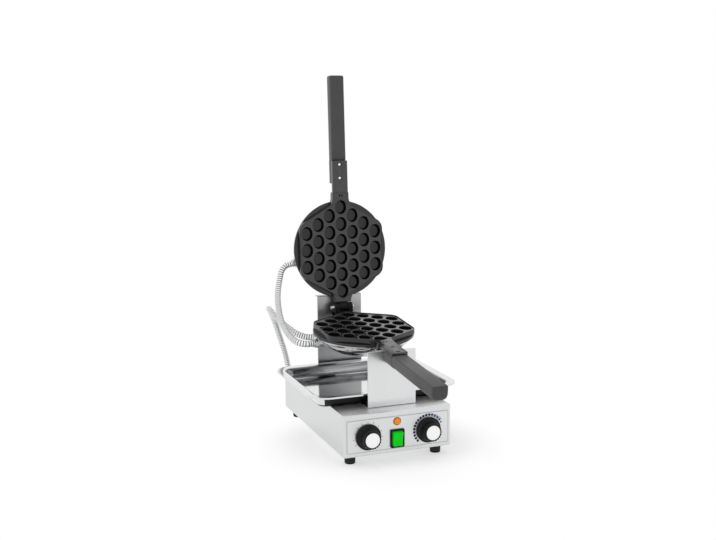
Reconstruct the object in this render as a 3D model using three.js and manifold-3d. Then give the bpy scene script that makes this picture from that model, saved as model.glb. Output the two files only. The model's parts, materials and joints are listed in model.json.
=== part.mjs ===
// Countertop bubble waffle maker: a sheet-steel base with two upright brackets that carry a
// cast mould of two hinged halves, each with 30 egg-shaped cavities, a heater and a long handle.
// Millimetres, +Z up, +X to the right and +Y to the back. The origin is under the middle of the
// whole appliance, on the surface that it stands on.
import * as THREE from 'three';
import { mergeVertices } from 'three/addons/utils/BufferGeometryUtils.js';
import Module from 'manifold-3d';

const wasm = await Module();
wasm.setup();

// Driving sizes
const gap = 0.3;
const overrun = 2;
const fineStep = 1e-4;

// Facets round a turned body, and segments in a rounded corner
const sideCounts = {
  tube: 6, cavity: 8, mark: 8, screw: 10, nut: 12, turned: 16, knob: 20, drum: 24, dish: 30,
  notch: 32, disc: 48,
};
const segmentCounts = { coarse: 3, usual: 4, fine: 5 };

const base = {
  width: 215, depth: 370, height: 79.5, sheet: 1.5, corner: 3, lip: 12, frontReach: 174.6,
};
const cover = {
  sheet: 1.2, inset: 4, slotLength: 70, slotWidth: 4, slotPitch: 14, slotCount: 6, slotsBack: 40,
};
const foot = {
  height: 18.5, topRadius: 11, soleRadius: 10, soleRound: 1.5, insetX: 20.5, insetY: 24.6,
};
const panel = { sideMargin: 5.3, topMargin: 10.3, bottomMargin: 7.2, sheet: 0.8 };
const knob = {
  spacing: 121, belowPanelCentre: 2.3, skirtRadius: 24.5, skirt: 4.5, gripRadius: 19,
  noseRadius: 16.5, reach: 24, standOff: 1, capRadius: 14, capSheet: 1.6, capSunk: 0.8,
  shaftRadius: 3, shaftFit: 0.25, bore: 14, chamfer: 1.2,
};
const rocker = {
  offsetX: -2.5, belowPanelCentre: 11.3, frameWidth: 28, frameHeight: 35, frame: 3,
  bodyWidth: 21.4, bodyHeight: 29.4, bodyDepth: 22, wall: 1.2, play: 0.35, pivotSunk: 1.5,
  middle: 4, rise: 3, back: 5, throwAngle: 9,
};
const lamp = {
  abovePanelCentre: 21, rimRadius: 7.6, rim: 1.4, lensRadius: 6.2, lens: 3.2, stem: 4.2, tail: 14,
  wall: 1.1, crownShare: 0.7,
};
const timer = { width: 50, height: 46, depth: 34 };
const thermostat = { width: 44, height: 40, depth: 27 };
const terminals = {
  width: 62, depth: 22, height: 18, x: 30, y: 110, slot: 6, slotCount: 6, slotDeep: 7,
};

const bracket = { sheet: 2, foot: 28, holeSpread: 64 };
const front = { width: 96.8, height: 107.1, y: 145.3, notchRadius: 24.8, notchPlay: 2.2 };
const rear = { width: 98, height: 166, y: 142.1, flange: 12 };
const screw = { headRadius: 4, head: 2.6, shankRadius: 1.9, shank: 8, fit: 0.3, crownShare: 0.6 };

const tray = {
  width: 306, depth: 264, height: 24.4, corner: 40, flange: 18, draft: 6, sheet: 1.2, lipDown: 3,
  cornerStepCount: 5,
};

const mould = { aboveDeck: 127.4, tilt: 5.1, open: 98, gap: 0.2 };
const casting = {
  flat: 182, land: 10.3, discRadius: 101, disc: 5.2, tangWidth: 35, tangEnd: 119, lugWidth: 32.5,
  lug: 9, lugEnd: 184, grooveWidth: 1.4, groove: 0.8, markHole: 1.6, markSpread: 5, markAt: 111,
  markDeep: 3, neckWidth: 34, web: 1.5, rim: 1.5, cornerCut: 7,
};
const cavity = {
  columnPitch: 25, rowPitch: 35, width: 23.8, long: 28.2, deep: 11.5,
  columnCounts: [3, 4, 5, 6, 5, 4, 3], kneeRadiusShare: 0.72, kneeDepthShare: 0.8,
};
const hinge = {
  back: 121.6, rise: 5.2, knuckleRadius: 9, earRadius: 9.5, knuckleWidth: 18.4, earsWidth: 39,
  side: 0.5, pinRadius: 3.9, pinFit: 0.25, pinOut: 7.5, headRadius: 5.5, head: 3, seatDeep: 5,
  neckShort: 1.6, bossClear: 1.5,
};
const pivot = {
  radius: 7, fit: 0.6, bossRadius: 11, boss: 5.6, socket: 4, behind: 20, bushWall: 2.8,
  bushFlange: 2, bushFlangeRadius: 13, nutRadius: 12, nutHeight: 8,
};
const pan = {
  sheet: 1.2, rimRadius: 95.8, deep: 31.5, screwRadius: 3, screwHead: 7, screwHeadHigh: 4,
  // radius as a share of the rim's, and depth as a share of the whole
  radiusShares: [1, 0.968, 0.907, 0.825, 0.722, 0.62],
  depthShares: [0.03, 0.26, 0.45, 0.6, 0.83, 1],
};
const heater = { ringRadius: 62, tubeRadius: 4.2 };
const grip = {
  width: 31, flatSunk: 5, deep: 26, start: 137, end: 358, backRound: 10, endRound: 2, lugFit: 0.3,
};
const gripScrew = {
  first: 148, second: 176, headRadius: 3.6, head: 2.4, sunk: 4, fit: 0.4, shankRadius: 2,
  shank: 14,
};

const conduit = { radius: 6.6, root: 5.8, bore: 4.6, pitch: 4.8, sideCount: 8, boreRibCount: 5 };
const gland = {
  bore: 4.6, threadRadius: 7.2, thread: 8, nutRadius: 9.5, nutHeight: 6, sleeveRadius: 7.8,
  sleeve: 4.5, sunk: 2,
};
const supplyPort = { angle: 150.5, level: 33 };
const jumperPort = { angle: 180, level: 29 };
const lidPort = { angle: 165, level: 31 };
const supplyOutlet = { sideInset: 25.5, belowDeck: 34 };
const mainsOutlet = {
  sideInset: 45.5, belowDeck: 44, bore: 4, threadRadius: 7, thread: 9, nutRadius: 11, nutHeight: 6,
  domeRadius: 8, dome: 12,
};

// Heights and places that follow from the sizes above
const deckZ = foot.height + base.height;
const frontY = -base.frontReach;
const backY = frontY + base.depth;
const panelWidth = base.width - panel.sideMargin * 2;
const panelHeight = base.height - panel.topMargin - panel.bottomMargin;
const panelZ = deckZ - panel.topMargin - panelHeight / 2;
const knobZ = panelZ - knob.belowPanelCentre;
const mouldZ = deckZ + mould.aboveDeck;
const tilt = THREE.MathUtils.degToRad(mould.tilt);
const supplyX = -base.width / 2 + supplyOutlet.sideInset;
const mainsX = base.width / 2 - mainsOutlet.sideInset;
const panelFace = frontY - gap - panel.sheet;

// Finishes
function finish(color, roughness, metalness) {
  return new THREE.MeshStandardMaterial({ color, roughness, metalness });
}

const steel = finish(0xd4d4d4, 0.35, 1);
const polished = finish(0xe6e6e6, 0.08, 1);
const zinc = finish(0xc2c4c6, 0.4, 1);
const nonStick = finish(0x2e2e30, 0.45, 0.2);
const bakelite = finish(0x4c4c4e, 0.6, 0);
const blackPlastic = finish(0x161617, 0.45, 0);
const rubber = finish(0x111111, 0.85, 0);
const silverCap = finish(0xe9e9ea, 0.3, 0.7);
const greenLens = finish(0x08d41c, 0.2, 0);
const amberLens = finish(0xf08c1e, 0.15, 0);
const ceramic = finish(0xdedbd2, 0.7, 0);

// Closed solids from three.js geometry
function weld(geometry) {
  const bare = geometry.index ? geometry.toNonIndexed() : geometry.clone();
  for (const name of Object.keys(bare.attributes)) {
    if (name !== 'position') bare.deleteAttribute(name);
  }
  const welded = mergeVertices(bare, fineStep);
  const kept = [];
  for (let i = 0; i < welded.index.count; i += 3) {
    const [a, b, c] = [0, 1, 2].map((k) => welded.index.getX(i + k));
    if (a !== b && b !== c && c !== a) kept.push(a, b, c);
  }
  welded.setIndex(kept);
  return welded;
}

function solid(geometry) {
  const welded = weld(geometry);
  return new wasm.Manifold(new wasm.Mesh({
    numProp: 3,
    vertProperties: new Float32Array(welded.attributes.position.array),
    triVerts: new Uint32Array(welded.index.array),
  }));
}

function geometryOf(body) {
  const mesh = body.getMesh();
  const geometry = new THREE.BufferGeometry();
  const points = new Float32Array((mesh.vertProperties.length / mesh.numProp) * 3);
  for (let i = 0; i < points.length / 3; i += 1) {
    for (let k = 0; k < 3; k += 1) points[i * 3 + k] = mesh.vertProperties[i * mesh.numProp + k];
  }
  geometry.setAttribute('position', new THREE.BufferAttribute(points, 3));
  geometry.setIndex(Array.from(mesh.triVerts));
  return geometry;
}

const joined = (first, ...rest) => rest.reduce((whole, next) => whole.add(next), first);
const cut = (first, ...rest) => rest.reduce((whole, next) => whole.subtract(next), first);

// The same body mirrored in the plane z = 0
function mirrored(body) {
  const geometry = geometryOf(body);
  geometry.applyMatrix4(new THREE.Matrix4().makeScale(1, 1, -1));
  const index = geometry.index.array;
  for (let i = 0; i < index.length; i += 3) {
    [index[i], index[i + 1]] = [index[i + 1], index[i]];
  }
  return solid(geometry);
}

function block(x0, x1, y0, y1, z0, z1) {
  const geometry = new THREE.BoxGeometry(x1 - x0, y1 - y0, z1 - z0);
  geometry.translate((x0 + x1) / 2, (y0 + y1) / 2, (z0 + z1) / 2);
  return solid(geometry);
}

// A turned body along +Z. The profile is a list of [radius, z] that closes on the axis or itself.
function turned(profile, sides = sideCounts.turned) {
  const geometry = new THREE.LatheGeometry(profile.map(([r, z]) => new THREE.Vector2(r, z)), sides);
  geometry.rotateX(Math.PI / 2);
  return geometry;
}

function rodGeometry(radius, z0, z1, sides = sideCounts.turned) {
  return turned([[0, z0], [radius, z0], [radius, z1], [0, z1]], sides);
}

const toX = (geometry) => geometry.rotateY(Math.PI / 2);
const toBack = (geometry) => geometry.rotateX(-Math.PI / 2);
const toFront = (geometry) => geometry.rotateX(Math.PI / 2);

function rodZ(radius, x, y, z0, z1, sides) {
  return solid(rodGeometry(radius, z0, z1, sides).translate(x, y, 0));
}

function rodY(radius, x, z, y0, y1, sides) {
  return solid(toBack(rodGeometry(radius, y0, y1, sides)).translate(x, 0, z));
}

function rodX(radius, y, z, x0, x1, sides) {
  return solid(toX(rodGeometry(radius, x0, x1, sides)).translate(0, y, z));
}

// A flat outline pushed from z0 to z1
function prism(outline, z0, z1, curveSegments = segmentCounts.usual) {
  const shape = outline instanceof THREE.Shape ? outline : new THREE.Shape(outline);
  const geometry = new THREE.ExtrudeGeometry(shape, { depth: z1 - z0, bevelEnabled: false, curveSegments });
  return geometry.translate(0, 0, z0);
}

function roundedRectangle(width, height, radius) {
  const shape = new THREE.Shape();
  const [x, y] = [width / 2 - radius, height / 2 - radius];
  shape.absarc(x, -y, radius, -Math.PI / 2, 0, false);
  shape.absarc(x, y, radius, 0, Math.PI / 2, false);
  shape.absarc(-x, y, radius, Math.PI / 2, Math.PI, false);
  shape.absarc(-x, -y, radius, Math.PI, Math.PI * 1.5, false);
  return shape;
}

const machine = new THREE.Group();

function addPiece(group, name, body, material) {
  const geometry = body instanceof THREE.BufferGeometry ? weld(body) : geometryOf(body);
  const mesh = new THREE.Mesh(geometry, material);
  mesh.name = name;
  group.add(mesh);
  return mesh;
}

// Base
const baseMiddleY = (frontY + backY) / 2;
const shaftHole = knob.shaftRadius + knob.shaftFit + gap;
const rockerZ = panelZ - rocker.belowPanelCentre;
const lampZ = panelZ + lamp.abovePanelCentre;
const frontFootY = -front.y + bracket.sheet + bracket.foot / 2;
const rearFootY = rear.y + bracket.sheet + bracket.foot / 2;
const screwHole = screw.shankRadius + screw.fit;

// The openings that the controls need in the front wall and in the panel on it
function controlCuts(y0, y1) {
  return [
    rodY(shaftHole, -knob.spacing / 2, knobZ, y0, y1),
    rodY(shaftHole, knob.spacing / 2, knobZ, y0, y1),
    rodY(lamp.stem + gap, rocker.offsetX, lampZ, y0, y1),
    block(
      rocker.offsetX - rocker.bodyWidth / 2 - gap, rocker.offsetX + rocker.bodyWidth / 2 + gap, y0, y1,
      rockerZ - rocker.bodyHeight / 2 - gap, rockerZ + rocker.bodyHeight / 2 + gap,
    ),
  ];
}

function bracketScrewPlaces(footY) {
  return [[-bracket.holeSpread / 2, footY], [bracket.holeSpread / 2, footY]];
}

function makeBase() {
  const inner = base.sheet * 2;
  const plan = roundedRectangle(base.width, base.depth, base.corner);
  const shell = solid(prism(plan, foot.height, deckZ, segmentCounts.coarse)
    .translate(0, baseMiddleY, 0));
  const hollow = block(
    -base.width / 2 + base.sheet, base.width / 2 - base.sheet, frontY + base.sheet, backY - base.sheet,
    foot.height + base.sheet, deckZ - base.sheet,
  );
  const underside = block(
    -(base.width - inner) / 2 + base.lip, (base.width - inner) / 2 - base.lip,
    frontY + base.sheet + base.lip, backY - base.sheet - base.lip,
    foot.height - overrun, foot.height + base.sheet + overrun,
  );
  const deckHoles = [...bracketScrewPlaces(frontFootY), ...bracketScrewPlaces(rearFootY)]
    .map(([x, y]) => rodZ(screwHole, x, y, deckZ - base.sheet - overrun, deckZ + overrun,
      sideCounts.screw));
  const outlets = [
    rodY(gland.threadRadius + gap, supplyX, deckZ - supplyOutlet.belowDeck,
      backY - base.sheet - overrun, backY + overrun),
    rodY(mainsOutlet.threadRadius + gap, mainsX, deckZ - mainsOutlet.belowDeck,
      backY - base.sheet - overrun, backY + overrun),
  ];
  const housing = cut(shell, hollow, underside, ...deckHoles, ...outlets,
    ...controlCuts(frontY - overrun, frontY + base.sheet + overrun));
  addPiece(machine, 'base_housing', housing, steel);

  const coverTop = foot.height - gap;
  const slotCuts = [];
  for (let i = 0; i < cover.slotCount; i += 1) {
    const y = baseMiddleY + cover.slotsBack + (i - (cover.slotCount - 1) / 2) * cover.slotPitch;
    slotCuts.push(block(-cover.slotLength / 2, cover.slotLength / 2, y, y + cover.slotWidth,
      coverTop - cover.sheet - overrun, coverTop + overrun));
  }
  const plate = block(-base.width / 2 + cover.inset, base.width / 2 - cover.inset, frontY + cover.inset,
    backY - cover.inset, coverTop - cover.sheet, coverTop);
  addPiece(machine, 'bottom_cover', cut(plate, ...slotCuts), zinc);

  const soleTop = coverTop - cover.sheet - gap;
  const footProfile = [
    [0, 0], [foot.soleRadius - foot.soleRound, 0], [foot.soleRadius, foot.soleRound],
    [foot.topRadius, soleTop], [0, soleTop],
  ];
  const footX = base.width / 2 - foot.insetX;
  for (const [end, y] of [['front', frontY + foot.insetY], ['rear', backY - foot.insetY]]) {
    for (const [side, x] of [['left', -footX], ['right', footX]]) {
      addPiece(machine, `foot_${end}_${side}`, turned(footProfile).translate(x, y, 0), rubber);
    }
  }
}

function makeControlPanel() {
  const plate = block(-panelWidth / 2, panelWidth / 2, panelFace, frontY - gap,
    panelZ - panelHeight / 2, panelZ + panelHeight / 2);
  const cuts = controlCuts(panelFace - overrun, frontY + overrun);
  addPiece(machine, 'control_panel', cut(plate, ...cuts), steel);
}

// One control: the body behind the panel, and the shaft, knob and silver cap that turn
function makeControl(name, x, body) {
  const inside = frontY + base.sheet + gap;
  const noseY = panelFace - knob.standOff - knob.reach;
  const shaftTip = noseY + knob.reach - knob.bore;
  const shaftEnd = inside + body.depth / 2;
  const shaftSeat = rodY(knob.shaftRadius + knob.shaftFit, x, knobZ, inside - overrun, shaftEnd + gap);
  const box = block(x - body.width / 2, x + body.width / 2, inside, inside + body.depth,
    knobZ - body.height / 2, knobZ + body.height / 2);
  addPiece(machine, `${name}_body`, cut(box, shaftSeat), zinc);
  addPiece(machine, `${name}_shaft`, rodY(knob.shaftRadius, x, knobZ, shaftTip + gap, shaftEnd), steel);

  const skirtEnd = knob.skirt;
  const profile = [
    [0, 0], [knob.skirtRadius, 0], [knob.skirtRadius, skirtEnd - knob.chamfer],
    [knob.skirtRadius - knob.chamfer, skirtEnd], [knob.gripRadius, skirtEnd],
    [knob.noseRadius, knob.reach - knob.chamfer], [knob.noseRadius - knob.chamfer, knob.reach],
    [0, knob.reach],
  ];
  const outside = solid(toFront(turned(profile, sideCounts.knob))
    .translate(x, panelFace - knob.standOff, knobZ));
  const bore = rodY(knob.shaftRadius + knob.shaftFit, x, knobZ, shaftTip, panelFace + overrun);
  const capSeat = rodY(knob.capRadius + gap, x, knobZ, noseY - overrun, noseY + knob.capSunk + gap,
    sideCounts.knob);
  addPiece(machine, `${name}_knob`, cut(outside, bore, capSeat), blackPlastic);
  const capBack = noseY + knob.capSunk;
  const cap = rodY(knob.capRadius, x, knobZ, capBack - knob.capSheet, capBack, sideCounts.knob);
  addPiece(machine, `${name}_knob_cap`, cap, silverCap);
}

function makeRocker() {
  const x = rocker.offsetX;
  const faceY = panelFace - gap - rocker.frame;
  const rear = panelFace - gap + rocker.bodyDepth;
  const frame = block(x - rocker.frameWidth / 2, x + rocker.frameWidth / 2, faceY, panelFace - gap,
    rockerZ - rocker.frameHeight / 2, rockerZ + rocker.frameHeight / 2);
  const body = block(x - rocker.bodyWidth / 2, x + rocker.bodyWidth / 2, faceY, rear,
    rockerZ - rocker.bodyHeight / 2, rockerZ + rocker.bodyHeight / 2);
  const pocketX = rocker.bodyWidth / 2 - rocker.wall;
  const pocketZ = rocker.bodyHeight / 2 - rocker.wall;
  const pocket = block(x - pocketX, x + pocketX, faceY - overrun, rear - rocker.wall,
    rockerZ - pocketZ, rockerZ + pocketZ);
  addPiece(machine, 'rocker_housing', cut(joined(frame, body), pocket), blackPlastic);

  const pivotY = faceY + rocker.pivotSunk;
  const reach = pocketZ - rocker.play;
  const halfWidth = pocketX - rocker.play;
  const drum = rodX(reach, 0, 0, -halfWidth, halfWidth, sideCounts.drum);
  const front = [
    new THREE.Vector2(rocker.back, -reach), new THREE.Vector2(rocker.back, reach),
    new THREE.Vector2(-rocker.middle - rocker.rise, reach), new THREE.Vector2(-rocker.middle, 0),
    new THREE.Vector2(-rocker.middle - rocker.rise, -reach),
  ];
  const side = prism(front, -halfWidth - overrun, halfWidth + overrun);
  side.applyMatrix4(new THREE.Matrix4().makeBasis(
    new THREE.Vector3(0, 1, 0), new THREE.Vector3(0, 0, 1), new THREE.Vector3(1, 0, 0),
  ));
  const button = geometryOf(drum.intersect(solid(side)));
  button.rotateX(THREE.MathUtils.degToRad(rocker.throwAngle));
  const mesh = addPiece(machine, 'rocker_button', button, greenLens);
  mesh.position.set(x, pivotY, rockerZ);
}

function makeLamp() {
  const holder = [
    [lamp.stem - lamp.wall, -lamp.tail], [lamp.stem, -lamp.tail], [lamp.stem, -lamp.rim],
    [lamp.rimRadius, -lamp.rim], [lamp.rimRadius, 0], [lamp.stem - lamp.wall, 0],
    [lamp.stem - lamp.wall, -lamp.tail],
  ];
  const face = panelFace - gap - lamp.rim;
  const place = (geometry) => toFront(geometry).translate(rocker.offsetX, face, lampZ);
  addPiece(machine, 'lamp_holder', place(turned(holder)), zinc);
  const stemRadius = lamp.stem - lamp.wall - gap;
  const lens = [
    [0, -lamp.tail / 2], [stemRadius, -lamp.tail / 2], [stemRadius, gap], [lamp.lensRadius, gap],
    [lamp.lensRadius, lamp.lens / 2], [lamp.lensRadius * lamp.crownShare, lamp.lens], [0, lamp.lens],
  ];
  addPiece(machine, 'lamp_lens', place(turned(lens)), amberLens);
}

function makeTerminalBlock() {
  const z0 = foot.height;
  const pitch = terminals.width / terminals.slotCount;
  const cuts = [];
  for (let i = 0; i < terminals.slotCount; i += 1) {
    const x = terminals.x - terminals.width / 2 + pitch * (i + 0.5);
    cuts.push(block(x - terminals.slot / 2, x + terminals.slot / 2,
      terminals.y - terminals.depth, terminals.y + terminals.depth,
      z0 + terminals.height - terminals.slotDeep, z0 + terminals.height + overrun));
  }
  const body = block(terminals.x - terminals.width / 2, terminals.x + terminals.width / 2,
    terminals.y - terminals.depth / 2, terminals.y + terminals.depth / 2, z0, z0 + terminals.height);
  addPiece(machine, 'terminal_block', cut(body, ...cuts), ceramic);
}

// Brackets: an upright plate with its foot bent to the back
const handleUnder = grip.flatSunk + grip.deep;
const notchZ = mouldZ - Math.tan(tilt) * front.y - handleUnder / Math.cos(tilt) - front.notchPlay
  + front.notchRadius;

function bracketScrews(name, footY) {
  const profile = [
    [0, -screw.shank], [screw.shankRadius, -screw.shank], [screw.shankRadius, gap], [screw.headRadius, gap],
    [screw.headRadius, screw.head * screw.crownShare], [screw.headRadius * screw.crownShare, screw.head],
    [0, screw.head],
  ];
  const seatZ = deckZ + gap + bracket.sheet;
  for (const [side, x] of [['left', -bracket.holeSpread / 2], ['right', bracket.holeSpread / 2]]) {
    const screwBody = turned(profile, sideCounts.screw).translate(x, footY, seatZ);
    addPiece(machine, `${name}_screw_${side}`, screwBody, zinc);
  }
}

function makeFrontBracket() {
  const z0 = deckZ + gap;
  const top = z0 + front.height;
  const half = front.width / 2;
  const upright = block(-half, half, -front.y, -front.y + bracket.sheet, z0, top);
  const footEnd = -front.y + bracket.sheet + bracket.foot;
  const flange = block(-half, half, -front.y, footEnd, z0, z0 + bracket.sheet);
  const notch = joined(
    rodY(front.notchRadius, 0, notchZ, -front.y - overrun, -front.y + bracket.sheet + overrun,
      sideCounts.notch),
    block(-front.notchRadius, front.notchRadius, -front.y - overrun, -front.y + bracket.sheet + overrun,
      notchZ, top + overrun),
  );
  const holes = bracketScrewPlaces(frontFootY).map(([x, y]) => rodZ(screwHole, x, y, z0 - overrun,
    z0 + bracket.sheet + overrun, sideCounts.screw));
  addPiece(machine, 'front_bracket', cut(joined(upright, flange), notch, ...holes), steel);
  bracketScrews('front_bracket', frontFootY);
}

const rearAxisZ = mouldZ + Math.tan(tilt) * (rear.y + bracket.sheet / 2);
const bushRadius = pivot.radius + pivot.fit + pivot.bushWall;

function makeRearBracket() {
  const z0 = deckZ + gap;
  const top = z0 + rear.height;
  const half = rear.width / 2;
  const back = rear.y + bracket.sheet;
  const upright = block(-half, half, rear.y, back, z0, top);
  const flange = block(-half, half, rear.y, back + bracket.foot, z0, z0 + bracket.sheet);
  const lip = block(-half, half, rear.y, back + rear.flange, top - bracket.sheet, top);
  const holes = bracketScrewPlaces(rearFootY).map(([x, y]) => rodZ(screwHole, x, y, z0 - overrun,
    z0 + bracket.sheet + overrun, sideCounts.screw));
  const bushSeat = rodY(bushRadius + gap, 0, rearAxisZ, rear.y - overrun, back + overrun);
  addPiece(machine, 'rear_bracket', cut(joined(upright, flange, lip), bushSeat, ...holes), steel);
  bracketScrews('rear_bracket', rearFootY);
  const bore = pivot.radius + pivot.fit;
  const bushEnd = bracket.sheet + gap * 2;
  const profile = [
    [bore, -pivot.bushFlange], [pivot.bushFlangeRadius, -pivot.bushFlange],
    [pivot.bushFlangeRadius, 0], [bushRadius, 0], [bushRadius, bushEnd], [bore, bushEnd],
    [bore, -pivot.bushFlange],
  ];
  addPiece(machine, 'rear_bush', toBack(turned(profile)).translate(0, rear.y - gap, rearAxisZ), zinc);
}

// Drip tray: one pressed sheet with a flat flange, its edge turned down
function trayRing(inset) {
  const radius = Math.max(tray.corner - inset, tray.sheet);
  const x = tray.width / 2 - inset - radius;
  const y = tray.depth / 2 - inset - radius;
  const points = [];
  const corners = [[x, y, 0], [-x, y, 1], [-x, -y, 2], [x, -y, 3]];
  for (const [cx, cy, quarter] of corners) {
    for (let i = 0; i <= tray.cornerStepCount; i += 1) {
      const angle = (quarter + i / tray.cornerStepCount) * Math.PI / 2;
      points.push([cx + Math.cos(angle) * radius, cy + Math.sin(angle) * radius]);
    }
  }
  return points;
}

// Rings of equal point counts skinned in order, with both ends closed by a fan
function skinRings(rings) {
  const count = rings[0].length;
  const points = rings.flat();
  const index = [];
  for (let r = 0; r + 1 < rings.length; r += 1) {
    for (let i = 0; i < count; i += 1) {
      const j = (i + 1) % count;
      const [a, b, c, d] = [r * count + i, r * count + j, (r + 1) * count + i, (r + 1) * count + j];
      index.push(a, b, c, b, d, c);
    }
  }
  for (const [r, flip] of [[0, true], [rings.length - 1, false]]) {
    const middle = rings[r].reduce((sum, p) => sum.map((v, k) => v + p[k] / count), [0, 0, 0]);
    points.push(middle);
    for (let i = 0; i < count; i += 1) {
      const [a, b] = [r * count + i, r * count + (i + 1) % count];
      index.push(...(flip ? [points.length - 1, b, a] : [points.length - 1, a, b]));
    }
  }
  const geometry = new THREE.BufferGeometry();
  geometry.setAttribute('position', new THREE.Float32BufferAttribute(points.flat(), 3));
  geometry.setIndex(index);
  return geometry;
}

function makeTray() {
  const top = tray.height;
  const wall = tray.flange + tray.draft;
  const levels = [
    [wall, 0], [tray.flange, top - tray.sheet], [tray.sheet, top - tray.sheet],
    [tray.sheet, top - tray.lipDown], [0, top - tray.lipDown], [0, top],
    [tray.flange + tray.sheet, top], [wall + tray.sheet, tray.sheet],
  ];
  const rings = levels.map(([inset, z]) => trayRing(inset).map(([x, y]) => [x, y, z]));
  const mesh = addPiece(machine, 'drip_tray', skinRings(rings), polished);
  mesh.position.set(0, 0, deckZ + gap);
}

// Mould halves. Both are drawn as the lower one, with the meeting plane at z = 0; the upper one
// is mirrored in that plane and turned open about the hinge.
const landTop = -mould.gap;
const discTop = -casting.land;
const discBottom = -casting.land - casting.disc;
const hexRadius = casting.flat / Math.sqrt(3);

// The land's outline: a hexagon with corners towards the handle and the hinge, the other four cut
function hexagon(inset) {
  const radius = hexRadius - inset * 2 / Math.sqrt(3);
  const corners = [0, 1, 2, 3, 4, 5].map((i) => {
    const angle = (i + 0.5) * Math.PI / 3;
    return new THREE.Vector2(Math.cos(angle) * radius, Math.sin(angle) * radius);
  });
  const share = (casting.cornerCut - inset * (4 / Math.sqrt(3) - 2)) / radius;
  return corners.flatMap((corner, i) => {
    if (Math.abs(corner.x) < fineStep) return [corner];
    const before = corner.clone().lerp(corners[(i + 5) % 6], share);
    const after = corner.clone().lerp(corners[(i + 1) % 6], share);
    return [before, after];
  });
}

function cavityPlaces() {
  const places = [];
  cavity.columnCounts.forEach((count, column) => {
    const x = (column - (cavity.columnCounts.length - 1) / 2) * cavity.columnPitch;
    for (let row = 0; row < count; row += 1) {
      places.push([x, (row - (count - 1) / 2) * cavity.rowPitch]);
    }
  });
  return places;
}

function cavityCutter(x, y) {
  const radius = cavity.width / 2;
  const knee = [radius * cavity.kneeRadiusShare, -cavity.deep * cavity.kneeDepthShare];
  const profile = [[0, -cavity.deep], knee, [radius, 0], [radius, overrun], [0, overrun]];
  const geometry = turned(profile, sideCounts.cavity);
  geometry.scale(1, cavity.long / cavity.width, 1);
  return solid(geometry.translate(x, y, landTop - casting.web));
}

// The parts of the casting that both halves share
function halfCasting() {
  const land = solid(prism(hexagon(0), discTop - gap, landTop));
  const disc = solid(rodGeometry(casting.discRadius, discBottom, discTop, sideCounts.disc));
  const tang = block(-casting.tangWidth / 2, casting.tangWidth / 2, -casting.tangEnd, -hexRadius / 2,
    discBottom, landTop);
  const lugHalf = casting.lugWidth / 2;
  const lug = block(-lugHalf, lugHalf, -casting.lugEnd, -casting.tangEnd + overrun,
    -casting.lug, landTop);
  const neckEnd = hinge.back - hinge.earRadius - hinge.neckShort;
  const neck = block(-casting.neckWidth / 2, casting.neckWidth / 2, hexRadius / 2, neckEnd,
    discBottom, landTop);
  const groove = block(-casting.tangWidth, casting.tangWidth,
    -casting.tangEnd, -casting.tangEnd + casting.grooveWidth, landTop - casting.groove, landTop + overrun);
  const bed = solid(prism(hexagon(casting.rim), landTop - casting.web, landTop + overrun));
  const marks = [-1, 1].map((side) => rodZ(casting.markHole, side * casting.markSpread / 2, -casting.markAt,
    landTop - casting.markDeep, landTop + overrun,
    sideCounts.mark));
  const screwHoles = [gripScrew.first, gripScrew.second].map((at) => joined(
    rodZ(gripScrew.headRadius + gripScrew.fit, 0, -at, landTop - gripScrew.sunk, landTop + overrun,
      sideCounts.nut),
    rodZ(gripScrew.shankRadius + gripScrew.fit, 0, -at, -casting.lug - overrun, landTop + overrun,
      sideCounts.nut),
  ));
  const cavities = cavityPlaces().map(([x, y]) => cavityCutter(x, y));
  return cut(joined(land, disc, tang, lug, neck), groove, bed, ...marks, ...screwHoles, ...cavities);
}

const knuckleHalf = hinge.knuckleWidth / 2;
const earInner = knuckleHalf + hinge.side;
const earOuter = hinge.earsWidth / 2;
const pinHole = () => rodX(hinge.pinRadius + hinge.pinFit, hinge.back, hinge.rise, -earOuter - overrun,
  earOuter + overrun, sideCounts.turned);
const bossFront = hinge.back + hinge.knuckleRadius + hinge.bossClear;
const bossBack = bossFront + pivot.boss;

function lowerHinge() {
  const neckEnd = hinge.back - hinge.earRadius - hinge.neckShort;
  const bed = block(-earOuter, earOuter, neckEnd - overrun, bossBack, discBottom, -hinge.seatDeep);
  const ears = [[-earOuter, -earInner], [earInner, earOuter]].map(([x0, x1]) => joined(
    rodX(hinge.earRadius, hinge.back, hinge.rise, x0, x1, sideCounts.knob),
    block(x0, x1, hinge.back - hinge.earRadius, hinge.back + hinge.earRadius, discBottom, hinge.rise),
  ));
  const boss = rodY(pivot.bossRadius, 0, 0, bossFront, bossBack, sideCounts.knob);
  const bossWeb = block(-pivot.bossRadius, pivot.bossRadius, bossFront, bossBack, discBottom, 0);
  const socket = rodY(pivot.radius + gap, 0, 0, bossBack - pivot.socket, bossBack + overrun);
  return { added: [bed, ...ears, boss, bossWeb], removed: [pinHole(), socket] };
}

// The upper half's knuckle, in the closed mould: it stands on the other side of the meeting plane
function upperHinge() {
  const neckEnd = hinge.back - hinge.earRadius - hinge.neckShort;
  const knuckle = rodX(hinge.knuckleRadius, hinge.back, hinge.rise, -knuckleHalf, knuckleHalf,
    sideCounts.knob);
  const arm = block(-knuckleHalf, knuckleHalf, neckEnd - overrun, hinge.back,
    -landTop, hinge.rise + hinge.knuckleRadius);
  return { added: [knuckle, arm], removed: [pinHole()] };
}

// Outer and inner line of the dish, from the rim to the middle
function panProfile(inner) {
  const top = discBottom - gap;
  const points = pan.radiusShares.map((share, i) => [
    pan.rimRadius * share - inner, top - pan.deep * pan.depthShares[i] + (i > 1 ? inner : 0),
  ]);
  return points;
}

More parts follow.
